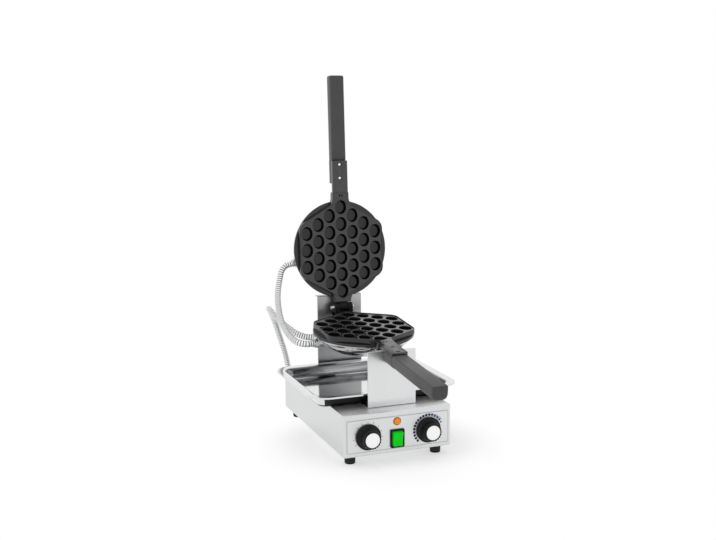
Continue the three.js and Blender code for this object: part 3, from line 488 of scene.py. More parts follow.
# Painted reflection: the tray's inside walls take a much darker copy of the polished steel, with dark
# streaks from a strong colour noise.
tray_wall_painted_reflection = surface_finish("tray_wall_painted_reflection_steel", (0.3, 0.3, 0.305), 1.0, 0.12,
                                grain=(9, 9, 170), colour_spread=1.0, rough_spread=0.06,
                                bump=0.6, bump_scale=24.0, bump_depth=0.0012,
                                bump_stretch=(0.5, 0.5, 3))
# Painted shade and reflection: a near-black copy of the tray's steel for its underside and its long
# outer walls.
tray_painted_shade = surface_finish("tray_underside_painted_shade_steel", (0.036, 0.036, 0.037), 1.0, 0.35,
                            grain=(40, 40, 40), colour_spread=0.1)
polished_steel = surface_finish("polished_steel", (0.66, 0.665, 0.67), 1.0, 0.1,
                                grain=(30, 30, 30), colour_spread=0.02, rough_spread=0.04,
                                bump=0.05, bump_scale=60.0, bump_depth=0.0001)
screw_steel = surface_finish("screw_steel", (0.95, 0.95, 0.95), 1.0, 0.22, grain=(200, 200, 200),
                             colour_spread=0.03, rough_spread=0.06)
zinc_steel = surface_finish("zinc_steel", (0.66, 0.67, 0.68), 1.0, 0.27, grain=(200, 200, 200),
                            colour_spread=0.08, bump=0.15)
heater_steel = surface_finish("heater_steel", (0.2, 0.19, 0.18), 1.0, 0.5, grain=(90, 90, 90),
                              colour_spread=0.3, bump=0.3)
# Its groove colour is painted shade between the ribs.
conduit_steel = surface_finish("conduit_steel", (0.9, 0.905, 0.91), 1.0, 0.28,
                               grain=(120, 120, 120), colour_spread=0.04, rough_spread=0.06,
                               bump=0.08, groove=(0.07, 0.07, 0.072))
# The edge colour here is partly wear and partly a painted highlight on the ridges between the cups.
nonstick = surface_finish("nonstick_casting", (0.01, 0.01, 0.011), 0.0, 0.13,
                          grain=(70, 70, 70), colour_spread=0.3, rough_spread=0.04, bump=0.15,
                          bump_scale=1400.0, bump_depth=0.00003, edge_wear_and_sheen=(0.05, 0.05, 0.053),
                          Specular_IOR_Level=0.8)
# Painted shade: a darker, duller copy of the casting's coat for the sides of the land and the flange.
nonstick_painted_shade = surface_finish("nonstick_painted_shade", (0.008, 0.008, 0.0085), 0.0, 0.25,
                               grain=(70, 70, 70), colour_spread=0.3, rough_spread=0.05,
                               bump=0.2, bump_scale=1400.0, bump_depth=0.00004,
                               edge_wear_and_sheen=(0.05, 0.05, 0.053), Specular_IOR_Level=0.6)
# Painted shade in the cups: a near-black, barely reflective copy of the coat for the walls, and a
# darker copy for the floors.
cup_wall_painted_shade = surface_finish("cup_wall_painted_shade", (0.003, 0.003, 0.0032), 0.0, 0.45,
                               grain=(70, 70, 70), colour_spread=0.3, bump=0.2,
                               bump_scale=1400.0, Specular_IOR_Level=0.08)
cup_floor_painted_shade = surface_finish("cup_floor_painted_shade", (0.007, 0.007, 0.0075), 0.0, 0.3,
                                grain=(120, 120, 120), colour_spread=0.4, bump=0.25,
                                bump_scale=1400.0, Specular_IOR_Level=0.5)
hinge_casting = surface_finish("hinge_casting", (0.008, 0.008, 0.009), 0.0, 0.5,
                               grain=(90, 90, 90), colour_spread=0.3, bump=0.3,
                               bump_scale=1200.0, Specular_IOR_Level=0.14)
bakelite = surface_finish("handle_bakelite", (0.074, 0.074, 0.076), 0.0, 0.45,
                          grain=(50, 50, 50), colour_spread=0.16, rough_spread=0.06, bump=0.35,
                          bump_scale=1100.0, bump_depth=0.00005, edge_wear_and_sheen=(0.13, 0.13, 0.135),
                          Specular_IOR_Level=0.25)
knob_plastic = surface_finish("knob_plastic", (0.004, 0.004, 0.0045), 0.0, 0.24,
                              grain=(90, 90, 90), colour_spread=0.15, rough_spread=0.05,
                              bump=0.15, bump_scale=1500.0, Specular_IOR_Level=0.2)
gland_plastic = surface_finish("gland_plastic", (0.012, 0.012, 0.013), 0.0, 0.4,
                               grain=(90, 90, 90), colour_spread=0.15, bump=0.2,
                               Specular_IOR_Level=0.35)
cap_metal = surface_finish("cap_aluminium", (0.95, 0.95, 0.95), 0.85, 0.3,
                           grain=(40, 40, 400), colour_spread=0.03, rough_spread=0.05,
                           bump=0.12, bump_scale=300.0, bump_stretch=(0.2, 0.2, 8))
rocker_green = surface_finish("rocker_green", (0.0, 0.36, 0.006), 0.0, 0.2,
                              grain=(160, 160, 60), colour_spread=0.5, bump=0.05,
                              Emission_Color=(0.0, 0.6, 0.004, 1), Emission_Strength=0.55,
                              Specular_IOR_Level=0.12)
lamp_amber = surface_finish("lamp_amber", (0.82, 0.22, 0.01), 0.0, 0.12, grain=(150, 150, 150),
                            colour_spread=0.2, bump=0.05, Emission_Color=(1.0, 0.33, 0.02, 1),
                            Emission_Strength=0.25, Specular_IOR_Level=0.3)
lamp_rim = surface_finish("lamp_rim_amber", (0.3, 0.07, 0.004), 0.0, 0.2, grain=(150, 150, 150),
                          colour_spread=0.2, bump=0.05, Specular_IOR_Level=0.3)
ceramic = surface_finish("terminal_cream", (0.72, 0.69, 0.6), 0.0, 0.6, bump=0.3)
rubber = surface_finish("foot_rubber", (0.008, 0.008, 0.008), 0.0, 0.6, grain=(120, 120, 120),
                        colour_spread=0.2, bump=0.5, bump_scale=1200.0, Specular_IOR_Level=0.3)
bush_brass = surface_finish("bush_brass", (0.68, 0.56, 0.34), 1.0, 0.35, bump=0.15)
dial_ink = surface_finish("dial_ink", (0.004, 0.008, 0.035), 0.0, 0.6, bump=0.05,
                          Specular_IOR_Level=0.2)
dial_halo = surface_finish("dial_halo", (0.62, 0.7, 0.85), 0.0, 0.5, bump=0.05)
line_ink = surface_finish("line_ink", (0.3, 0.305, 0.31), 0.2, 0.5, bump=0.05)

# Camera

CAMERA_PLACE = (-0.7066, -1.761131, 0.6331)
CAMERA_AZIMUTH, CAMERA_ELEVATION, CAMERA_ROLL = 20.75, 8.58, -0.44
CAMERA_LENS, CAMERA_SENSOR = 50.62, 36


def make_camera():
    """A camera at its place, turned by its azimuth, its elevation and then its roll."""
    azimuth, elevation, roll = (math.radians(angle) for angle in
                                (CAMERA_AZIMUTH, CAMERA_ELEVATION, CAMERA_ROLL))
    right = Vector((math.cos(azimuth), -math.sin(azimuth), 0))
    back = Vector((-math.sin(azimuth) * math.cos(elevation),
                   -math.cos(azimuth) * math.cos(elevation), math.sin(elevation)))
    up = back.cross(right)
    rolled_right = right * math.cos(roll) + up * math.sin(roll)
    rolled_up = up * math.cos(roll) - right * math.sin(roll)
    camera = bpy.data.objects.new("camera", bpy.data.cameras.new("camera"))
    camera.data.lens = CAMERA_LENS
    camera.data.sensor_width = CAMERA_SENSOR
    turn = Matrix((rolled_right, rolled_up, back)).transposed().to_4x4()
    camera.matrix_world = Matrix.Translation(CAMERA_PLACE) @ turn
    bpy.context.scene.collection.objects.link(camera)
    bpy.context.scene.camera = camera


make_camera()

# Conduits: ribbed steel hose on a smooth curve through its route, in metres

CONDUIT_RADIUS, CONDUIT_ROOT, CONDUIT_PITCH = 6.4, 5.5, 4.8
SUPPLY_ROUTE = [
    (-0.082, 0.280869, 0.064), (-0.082, 0.287369, 0.064), (-0.082, 0.294069, 0.064),
    (-0.082, 0.307369, 0.068), (-0.0825, 0.318369, 0.078), (-0.084, 0.324369, 0.094),
    (-0.088, 0.323369, 0.113), (-0.095, 0.317369, 0.135), (-0.108, 0.304369, 0.168),
    (-0.122, 0.287369, 0.201), (-0.137, 0.266369, 0.228), (-0.148, 0.240369, 0.2405),
    (-0.151, 0.216369, 0.24), (-0.147, 0.196369, 0.2315), (-0.139, 0.179369, 0.2215),
    (-0.13, 0.164369, 0.213), (-0.118, 0.147369, 0.2035), (-0.1021, 0.134769, 0.1977),
    (-0.0964, 0.131569, 0.1974), (-0.0906, 0.128369, 0.1971),
]
JUMPER_ROUTE = [
    (-0.1013, 0.225569, 0.3344), (-0.1078, 0.225469, 0.3327), (-0.1141, 0.225369, 0.331),
    (-0.1235, 0.221869, 0.3225), (-0.131, 0.214369, 0.305), (-0.138, 0.203369, 0.286),
    (-0.143, 0.190369, 0.268), (-0.146, 0.174369, 0.251), (-0.148, 0.154369, 0.2345),
    (-0.1475, 0.134369, 0.2215), (-0.145, 0.116369, 0.2115), (-0.14, 0.100369, 0.2035),
    (-0.132, 0.084369, 0.1985), (-0.1189, 0.076969, 0.1965), (-0.112, 0.076969, 0.1965),
    (-0.1057, 0.076969, 0.1965),
]


def smooth_route(route, spacing, samples=60):
    """A smooth curve through the route, resampled at an even spacing. Its knots are as far apart as
    the square root of the distance between the points, and between two knots it blends the two
    parabolas through them and their neighbours."""
    points = np.asarray(route, float)
    points = np.concatenate([[2 * points[0] - points[1]], points, [2 * points[-1] - points[-2]]])
    knots = np.concatenate([[0], np.cumsum(np.linalg.norm(np.diff(points, axis=0), axis=1) ** 0.5)])
    share = np.linspace(0, 1, samples, endpoint=False)[None, :, None]
    p = [points[i:len(points) - 3 + i, None] for i in range(4)]
    t = [knots[i:len(points) - 3 + i, None, None] for i in range(4)]
    u = t[1] + (t[2] - t[1]) * share

    def mix(first, second, start, end):
        return ((end - u) * first + (u - start) * second) / (end - start)

    low, middle, high = (mix(p[i], p[i + 1], t[i], t[i + 1]) for i in range(3))
    early, late = mix(low, middle, t[0], t[2]), mix(middle, high, t[1], t[3])
    curve = mix(early, late, t[1], t[2]).reshape(-1, 3)
    curve = np.concatenate([curve, points[-2:-1]])
    reach = np.concatenate([[0], np.cumsum(np.linalg.norm(np.diff(curve, axis=0), axis=1))])
    even = np.linspace(0, reach[-1], max(int(round(reach[-1] / spacing)), 2) + 1)
    return np.stack([np.interp(even, reach, curve[:, k]) for k in range(3)], axis=-1), reach[-1]


def ribbed_hose(route, steps_per_rib=10, sides=24, power=6):
    """A tube whose radius swings between root and crest once a pitch, on rings square to the path: r =
    crest - (crest - root) cos^power(pi s / pitch). The cosine's power is also each point's groove
    value: painted shade, which darkens the colour in the grooves between the ribs."""
    path, length = smooth_route(np.asarray(route) / MM, CONDUIT_PITCH / steps_per_rib)
    tangent = np.gradient(path, axis=0)
    tangent /= np.linalg.norm(tangent, axis=1, keepdims=True)
    never_along = (0.25, 0.1, 1.0)
    side = np.cross(tangent, never_along)
    side /= np.linalg.norm(side, axis=1, keepdims=True)
    lift = np.cross(side, tangent)
    travelled = np.linspace(0, length, len(path))
    groove = np.cos(math.pi * travelled / CONDUIT_PITCH) ** power
    radius = (CONDUIT_RADIUS - (CONDUIT_RADIUS - CONDUIT_ROOT) * groove)[:, None, None]
    angle = turn_steps(sides)[None, :, None]
    points = path[:, None] + radius * (np.cos(angle) * side[:, None] + np.sin(angle) * lift[:, None])
    groove_shade = np.concatenate([np.repeat(groove, sides), [1.0, 1.0]])
    return surface(points, cap_first=True, cap_last=True), groove_shade, path * MM, length * MM


def make_conduit(name, route):
    """A ribbed conduit along its route, baked in place and attached to neither of the two bodies that
    it joins."""
    shape, groove_shade, path, length = ribbed_hose(route)
    obj = object_from(name + "_hose", shape)
    # The groove attribute holds how strongly painted shade darkens each point.
    groove = obj.data.attributes.new("groove", "FLOAT", "POINT")
    groove.data.foreach_set("value", groove_shade.astype(np.float32))
    obj.data.polygons.foreach_set("use_smooth", np.ones(len(obj.data.polygons), bool))
    obj.data.materials.append(conduit_steel)
    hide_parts(name)
    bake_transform(obj)


make_conduit("supply_conduit", SUPPLY_ROUTE)
make_conduit("jumper_conduit", JUMPER_ROUTE[::-1])

# Base

SHEET = 1.5


def make_housing():
    """A folded box: the profile runs from the middle of the deck down the wall and the turned-in
    lip, and back inside."""
    low, high, middle = node_box("base_housing")
    half_x, half_y = (high[0] - low[0]) / 2, (high[1] - low[1]) / 2
    lip, deck_inset, corner = 12.0, 60.0, 3.0
    upright, play = 0.98, 0.2
    outside = [(deck_inset, high[2]), (0, high[2]), (0, low[2]), (lip + SHEET, low[2])]
    inside = [(lip + SHEET, low[2] + SHEET), (SHEET, low[2] + SHEET), (SHEET, high[2] - SHEET),
              (deck_inset, high[2] - SHEET)]
    profile = np.concatenate([rounded(outside, [0, 1.6, 1.2, 0], 5),
                              rounded(inside, [0, 0.6, 0.6, 0], 2)])
    shell = piece("housing_shell", moulding(profile, half_x, half_y, corner), satin_steel, "base",
                  ["base_housing"], moved(0, middle[1], 0))
    middles, normals = face_numbers(shell)
    # The top faces of the same folded sheet take the lighter copy: painted light on the deck.
    dress(shell, (deck_painted_light_steel, (normals[:, 2] > upright) & (middles[:, 2] > high[2] - play)))


def make_feet():
    """Turned rubber feet, wider above a waist, each with its screw in a hollow of the sole."""
    sole, hollow, hollow_high, waist = 10.0, 4.2, 3.2, 12.6
    screw_radius, screw_high, screw_level = 3.4, 1.8, 3.3
    for end, side in itertools.product(("front", "rear"), ("left", "right")):
        node = f"foot_{end}_{side}"
        low, high, middle = node_box(node)
        top = (high[0] - low[0]) / 2
        corners = [(0, hollow_high), (hollow, hollow_high), (hollow, 0), (sole, 0), (top - 0.5, waist),
                   (top, waist + 0.6), (top, high[2]), (0, high[2])]
        profile = rounded(corners, [0, 0.4, 0.8, 1.8, 0.4, 0.6, 0.5, 0], 4)
        piece(node + "_rubber", lathe(profile), rubber, "base", [node],
              moved(middle[0], middle[1], 0))
        screw = at(screw_head(screw_radius, screw_high, 40, 12),
                   moved(middle[0], middle[1], screw_level) @ swung("X", 180))
        piece(node + "_screw", screw, zinc_steel, "base")


make_housing()
make_feet()
keep_node("bottom_cover", zinc_steel, 0.25)
keep_node("terminal_block", ceramic, 0.5)
for hidden_node in ("timer_body", "thermostat_body", "timer_shaft", "thermostat_shaft"):
    keep_node(hidden_node, zinc_steel, 0.3)

# Front panel and controls

panel_low, panel_high, PANEL_MIDDLE = node_box("control_panel")
PANEL_HALF = (panel_high - panel_low) / 2
ON_PANEL = moved(PANEL_MIDDLE[0], panel_low[1], PANEL_MIDDLE[2]) @ FORWARD
PRINT = 0.04


def make_panel():
    """The panel's plate, and the thin line printed just inside its edge."""
    thick = panel_high[1] - panel_low[1]
    profile = rounded([(40, -thick), (0, -thick), (0, 0), (28, 0)], [0, 0.1, 0.35, 0], 3)
    piece("panel_plate", moulding(profile, PANEL_HALF[0], PANEL_HALF[2], 2.0, 5), panel_steel,
          "base", ["control_panel"], ON_PANEL)
    outer, inner, sunk = 0.4, 1.1, -0.05
    line = [(outer, sunk), (outer, PRINT), (inner, PRINT), (inner, sunk)]
    piece("panel_border", moulding(line, PANEL_HALF[0], PANEL_HALF[2], 2.5, 5, capped=False),
          line_ink, "base", place=ON_PANEL)


def make_knob(name):
    """A skirted knob. Flutes scoop the radius of its grip by depth (1 - cos(n a)) / 2, and its
    nose holds a bright brushed cap."""
    low, high, middle = node_box(name + "_knob")
    reach = high[1] - low[1]
    skirt = (high[0] - low[0]) / 2
    flute_count, flute_depth, steps_per_flute = 20, 1.7, 12
    grip, nose, cap, grip_start = 19.2, 17.0, 14.0, 7.0
    seat, cap_seat = cap + 0.4, reach - 1.2
    skirt_part = rounded([(0, 0), (skirt, 0), (skirt, 3.6), (grip + 1.4, 4.8), (grip, grip_start)],
                         [0, 0.3, 1.0, 1.2, 0], 4)
    heights = np.linspace(grip_start + 0.2, reach - 1.8, 7)
    wall = np.stack([np.interp(heights, [grip_start, reach], [grip, nose]), heights], axis=-1)
    nose_part = rounded([(nose, reach - 1.5), (nose, reach), (seat, reach), (seat, cap_seat),
                         (0, cap_seat)], [0, 1.3, 0.3, 0.1, 0], 4)
    profile = np.concatenate([skirt_part, wall, nose_part])
    angle = turn_steps(flute_count * steps_per_flute)
    radius, height = columns(profile)
    flute_start, flute_fade, nose_start, nose_fade = 6.2, 1.2, cap + 0.5, 1.5
    on_grip = (np.clip((height - flute_start) / flute_fade, 0, 1)
               * np.clip((radius - nose_start) / nose_fade, 0, 1))
    scoop = (1 - np.cos(flute_count * angle)) / 2
    points = turned(radius - flute_depth * on_grip * scoop, height, angle)
    place = moved(middle[0], high[1], middle[2]) @ FORWARD
    piece(name + "_grip", surface(points, cap_first=True, cap_last=True), knob_plastic, name,
          [name + "_knob"], place, sharp=40)
    face = reach - 0.8
    cap_corners = [(0, face - 1.2), (cap, face - 1.2), (cap, face), (cap - 1.4, face + 0.15),
                   (0, face + 0.15)]
    disc = lathe(rounded(cap_corners, [0, 0.1, 0.4, 0.3, 0], 3), 96)
    piece(name + "_cap", disc, cap_metal, name, [name + "_knob_cap"], place,
          sharp=50)


def dots(places, radii, sides=16):
    """Flat round marks on the panel: one round face about each place, with its own radius. They
    lie a little over the other print."""
    over_print = 0.03
    rim = rays(turn_steps(sides)) * np.asarray(radii)[:, None, None]
    flat = np.concatenate([rim + np.asarray(places)[:, None],
                           np.full(rim.shape[:2] + (1,), PRINT + over_print)], axis=-1)
    faces = np.arange(flat.shape[0] * sides).reshape(-1, sides).tolist()
    return flat.reshape(-1, 3), faces


def band(centre, inner, outer, start, end, steps=40, narrowest=0.4):
    """A flat ring sector with a width that grows along it."""
    ray = rays(np.radians(np.linspace(start, end, steps)))
    outer_radius = np.linspace(inner + narrowest, outer, steps)[:, None]
    edges = np.stack([ray * inner + centre, ray * outer_radius + centre], axis=1)
    flat = np.concatenate([edges, np.full(edges.shape[:2] + (1,), PRINT)], axis=-1)
    return surface(flat, wrap=False)


def tick_mark(centre, inner, outer, degrees, half=0.55):
    """A thin flat bar on the panel along one ray of the dial."""
    corners = np.array([(inner, -half), (outer, -half), (outer, half), (inner, half)])
    angle = math.radians(degrees)
    turn = np.array([[math.cos(angle), math.sin(angle)], [-math.sin(angle), math.cos(angle)]])
    flat = corners @ turn + centre
    return np.concatenate([flat, np.full((4, 1), PRINT)], axis=1), [[0, 1, 2, 3]]


def dial(name):
    """The middle of a knob on the panel, and its radius."""
    low, high, middle = node_box(name + "_knob")
    return (middle - PANEL_MIDDLE)[[0, 2]], (high[0] - low[0]) / 2


def make_dial_marks():
    """Dots on a band that widens round the thermostat's knob, and ticks round the timer's. The
    dots grow and shrink along their row."""
    centre, radius = dial("thermostat")
    dots_out, band_inner, band_outer = 4.2, 0.8, 8.6
    dot_count = 17
    ray = rays(np.radians(np.linspace(222, 24, dot_count)))
    dot_radii = np.interp(np.linspace(0, 1, dot_count), [0, 0.35, 0.7, 1], [2.5, 2.6, 2.2, 1.6])
    halo = band(centre, radius + band_inner, radius + band_outer, 218, 30)
    piece("thermostat_marks", dots(centre + ray * (radius + dots_out), dot_radii), dial_ink, "base",
          place=ON_PANEL, closed=False)
    piece("thermostat_band", halo, dial_halo, "base", place=ON_PANEL, closed=False)
    centre, radius = dial("timer")
    tick_start, tick_end = 1.0, 5.0
    ticks = [tick_mark(centre, radius + tick_start, radius + tick_end, 90 - angle)
             for angle in range(-120, 121, 24)]
    piece("timer_marks", joined(*ticks), line_ink, "base", place=ON_PANEL,
          closed=False)


def make_rocker():
    """The switch's housing, from its back over the frame on the panel and down into its well."""
    low, high, middle = node_box("rocker_housing")
    half_x, half_z = (high[0] - low[0]) / 2, (high[2] - low[2]) / 2
    frame_deep, edge, well, depth = 3.0, 3.6, 16, high[1] - low[1]
    corners = [(edge + 1, -depth), (edge, -depth + 1), (edge, -frame_deep), (0, -frame_deep), (0, 0),
               (edge - 0.2, 0), (edge + 0.4, -1.4), (edge + 0.4, -well), (edge + 6, -well)]
    profile = rounded(corners, [0, 0.5, 0.1, 0.3, 1.0, 0.6, 0.4, 0.3, 0], 3)
    place = moved(middle[0], low[1], middle[2]) @ FORWARD
    piece("rocker_bezel", moulding(profile, half_x, half_z, 2.2, 5), knob_plastic, "base",
          ["rocker_housing"], place)
    make_rocker_button(middle[0], low[1], middle[2])


def make_rocker_button(x, face, z):
    """A tilted V: its side view in (y, z) runs along the tile's two slopes and round its back."""
    half_width, reach, back, middle_out, rise = 9.15, 13.1, 5, 4.0, 3.0
    throw, pivot_sunk = 9.0, 1.5
    side_view = [(back, -reach), (-middle_out - rise, -reach), (-middle_out, 0),
                 (-middle_out - rise, reach), (back, reach)]
    side_view = rounded(side_view, [1, 1.2, 9, 1.2, 1], 6, closed=True)
    place = moved(x, face + pivot_sunk, z) @ swung("X", throw) @ SIDEWAYS
    piece("rocker_tile", prism(side_view, -half_width, half_width), rocker_green, "rocker",
          ["rocker_button"], place, bevel=0.7)


def make_lamp():
    """A round lamp: its ring on the panel, and a domed lens."""
    low, high, middle = node_box("lamp_holder")
    rim, bore, lens_radius, front = (high[0] - low[0]) / 2, 6.4, 6.3, low[1]
    place = moved(middle[0], front, middle[2]) @ FORWARD
    ring = [(bore, -1.2), (rim, -1.4), (rim, -0.6), (rim - 0.8, 0), (bore + 0.5, 0), (bore, -0.5)]
    ring_profile = rounded(ring, [0.1, 0.2, 0.5, 0.5, 0.3, 0.2], 4, closed=True)
    piece("lamp_ring", lathe(ring_profile, 64, capped=False), lamp_rim, "base",
          ["lamp_holder"], place)
    lens_low, _, _ = node_box("lamp_lens")
    rise = front - lens_low[1]
    lens = [(0, -3), (lens_radius, -3), (lens_radius, 0.8), (4.6, rise), (0, rise)]
    piece("lamp_dome", lathe(rounded(lens, [0, 0.3, 1.6, 3.4, 0], 8), 64), lamp_amber, "base",
          ["lamp_lens"], place, sharp=60)


make_panel()
make_knob("timer")
make_knob("thermostat")
make_dial_marks()
make_rocker()
make_lamp()

# Brackets

GRIP_HALF, GRIP_TOP, GRIP_BOTTOM, GRIP_START, GRIP_END = 15.5, -5.0, -31.0, 137.0, 358.0
BRACKET_SHEET, REAR_FLANGE = 2.0, 12.0
NOTCH_RADIUS, NOTCH_PLAY = 24.8, 2.2


def notch_bottom(bracket_y):
    """The notch's lowest point, just under the handle's back as it lies in the notch."""
    tilt = math.radians(TILT)
    mould_y, mould_z = MOULD[1, 3], MOULD[2, 3]
    handle_deep = -GRIP_BOTTOM / math.cos(tilt)
    return mould_z - math.tan(tilt) * (mould_y - bracket_y) - handle_deep - NOTCH_PLAY


def make_brackets():
    """Bent sheets: the side view in (y, z), rounded at its bends, is pushed along x. A U is cut
    out of the front one."""
    sheet, over = BRACKET_SHEET, 6
    low, high, _ = node_box("front_bracket")
    front, back, half = low[1], high[1], high[0]
    side_view = [(front, high[2]), (front, low[2]), (back, low[2]), (back, low[2] + sheet),
                 (front + sheet, low[2] + sheet), (front + sheet, high[2])]
    outline = rounded(side_view, [0, 3, 0, 0, 1, 0], 6, closed=True)
    round_level = notch_bottom(front) + NOTCH_RADIUS
    notch = at(lathe([(0, -over), (NOTCH_RADIUS, -over), (NOTCH_RADIUS, over), (0, over)], 96),
               moved(0, front, round_level) @ FORWARD)
    slot = box((-NOTCH_RADIUS, front - over, round_level),
               (NOTCH_RADIUS, front + over, high[2] + over))
    piece("front_bracket_sheet", at(prism(outline, -half, half), SIDEWAYS), bracket_steel, "base",
          ["front_bracket"], cuts=[notch, slot], bevel=0.35)

    low, high, _ = node_box("rear_bracket")
    front, back, half = low[1], high[1], high[0]
    flange_back = front + sheet + REAR_FLANGE
    side_view = [(front, low[2]), (back, low[2]), (back, low[2] + sheet),
                 (front + sheet, low[2] + sheet), (front + sheet, high[2] - sheet),
                 (flange_back, high[2] - sheet), (flange_back, high[2]), (front, high[2])]
    outline = rounded(side_view, [3, 0, 0, 1, 1, 0, 0, 3], 6, closed=True)
    # The rear bracket takes the darker copy of the steel: painted shade and reflection.
    piece("rear_bracket_sheet", at(prism(outline, -half, half), SIDEWAYS), rear_bracket_painted_shade, "base",
          ["rear_bracket"], bevel=0.35)


def make_bracket_screws():
    """Two domed screws through the foot of each bracket."""
    head_high, radius, depth, overlap = 2.4, 1.8, 9, 0.2
    for name, side in itertools.product(("front_bracket", "rear_bracket"), ("left", "right")):
        node = f"{name}_screw_{side}"
        low, high, middle = node_box(node)
        head = screw_head((high[0] - low[0]) / 2, head_high)
        shank = lathe([(0, -depth), (radius, -depth), (radius, overlap), (0, overlap)], 24)
        piece(node + "_head", joined(head, shank), zinc_steel, "base", [node],
              moved(middle[0], middle[1], high[2] - head_high), sharp=50)


def make_bush():
    """A flanged ring round the pivot shaft, turned about y."""
    low, high, middle = node_box("rear_bush")
    bore, neck, outer, flange = 7.6, 10.4, (high[0] - low[0]) / 2, low[1] + 2
    corners = [(bore, low[1]), (outer, low[1]), (outer, flange), (neck, flange), (neck, high[1]),
               (bore, high[1])]
    profile = rounded(corners, [0.3, 0.5, 0.3, 0.1, 0.3, 0.3], 3, closed=True)
    piece("rear_bush_ring", lathe(profile, 64, capped=False), bush_brass, "base",
          ["rear_bush"], moved(middle[0], 0, middle[2]) @ ALONG_Y)


make_brackets()
make_bracket_screws()
make_bush()

# Drip tray


def make_tray():
    """A pressed tray: one profile from the turned-down edge over the flange and down the drawn wall to
    the flat bottom, and back along its underside. The upper side is polished; its inside walls carry
    painted dark reflections, and the underside and the long outer walls carry a near-black painted
    shade."""
    low, high, middle = node_box("drip_tray")
    half_x, half_y, top = (high[0] - low[0]) / 2, (high[1] - low[1]) / 2, high[2] - low[2]
    flange, draft, sheet, corner, inward = 18.0, 6.0, 1.0, 40.0, 110
    wall, lip, step = flange + draft, top - 3, 0.8
    upper = [(0, lip), (0, top), (flange, top), (wall, sheet), (wall + 14, sheet),
             (wall + 16, sheet + step), (inward, sheet + step)]
    under = [(inward, step), (wall + 16.5, step), (wall + 14.5, 0), (wall - sheet, 0),
             (flange - sheet, top - sheet), (sheet, top - sheet), (sheet, lip)]
    profile = np.concatenate([rounded(upper, [0, 1.8, 5.5, 11, 2, 2, 0], 9),
                              rounded(under, [0, 2, 2, 11, 5, 0.8, 0], 9)])
    start = int(np.argmax(profile[:, 0]))
    profile = np.roll(profile, -(start + 1), axis=0)
    tray = piece("tray_pan", moulding(profile, half_x, half_y, corner, 14), tray_steel, "tray",
                 ["drip_tray"], moved(middle[0], middle[1], low[2]), sharp=60)

    middles, normals = face_numbers(tray)
    facing_down, wall_slant, long_share = -0.5, 0.85, 2.2
    under_lip, under_flange = high[2] - 3.2, high[2] - 1.2
    outside = (normals[:, :2] * (middles - middle)[:, :2]).sum(axis=1) > 0
    lengthwise = np.abs(normals[:, 1]) > long_share * np.abs(normals[:, 0])
    long_side = outside & lengthwise & (middles[:, 2] < under_lip)
    inside_wall = ~outside & (np.abs(normals[:, 2]) < wall_slant) & (middles[:, 2] < under_flange)
    # Painted shade: the underside and the long outer walls take the near-black copy of the steel.
    dress(tray, (tray_painted_shade, (normals[:, 2] < facing_down) | long_side),
          # Painted reflection: dark streaked copy of the steel on the inside walls.
          (tray_wall_painted_reflection, inside_wall))


make_tray()

# Mould halves

LAND_TOP = -0.2
DISC_TOP, DISC_BOTTOM = -10.3, -15.5
FLAT, RIM, WEB = 182.0, 1.5, 1.5
HEX_CORNER = FLAT / math.sqrt(3)
DISC_RADIUS = 101.0
COLUMN_PITCH, ROW_PITCH = 25.0, 35.0
COLUMN_COUNTS = (3, 4, 5, 6, 5, 4, 3)
CUP_HALF_X, CUP_HALF_Y = 12.0, 14.2
SIDE_CORNER, END_CORNER = 14.0, 4.0
TANG_HALF, TANG_END = 17.5, 119.0
LUG_HALF, LUG_END, LUG_BOTTOM = 16.25, 184.0, -9.0


def cup_places():
    """Cup centres: columns along x, each with its rows spread about the middle."""
    middle = (len(COLUMN_COUNTS) - 1) / 2
    return [((column - middle) * COLUMN_PITCH, (row - (count - 1) / 2) * ROW_PITCH)
            for column, count in enumerate(COLUMN_COUNTS) for row in range(count)]


def clipped(polygon, normal, distance):
    """The part of a convex polygon where p . normal <= distance."""
    height = polygon @ normal - distance
    following = np.roll(polygon, -1, axis=0)
    next_height = np.roll(height, -1)
    kept = []
    for point, other, h, k in zip(polygon, following, height, next_height):
        if h <= 0:
            kept.append(point)
        if (h < 0 < k) or (k < 0 < h):
            kept.append(point + (other - point) * h / (h - k))
    return np.array(kept)


def cell_of(place, places, apothem):
    """The land round one cup: nearer to it than to any other cup, and inside the hexagon."""
    centre = np.array(place)
    reach, shortest = 60.0, 1e-6
    polygon = centre + np.array([(-reach, -reach), (reach, -reach), (reach, reach), (-reach, reach)])
    for other in places:
        offset = np.array(other) - centre
        distance = np.linalg.norm(offset)
        if 0 < distance < reach:
            normal = offset / distance
            polygon = clipped(polygon, normal, normal @ centre + distance / 2)
    corner_reach = HEX_CORNER - SIDE_CORNER / 4 - 1.1
    flats = [(degrees, apothem) for degrees in range(0, 360, 60)]
    side_corners = [(degrees, corner_reach) for degrees in (30, 150, 210, 330)]
    for degrees, distance in flats + side_corners:
        polygon = clipped(polygon, rays(math.radians(degrees)), distance)
    sides = np.linalg.norm(polygon - np.roll(polygon, 1, axis=0), axis=1)
    return polygon[sides > shortest]


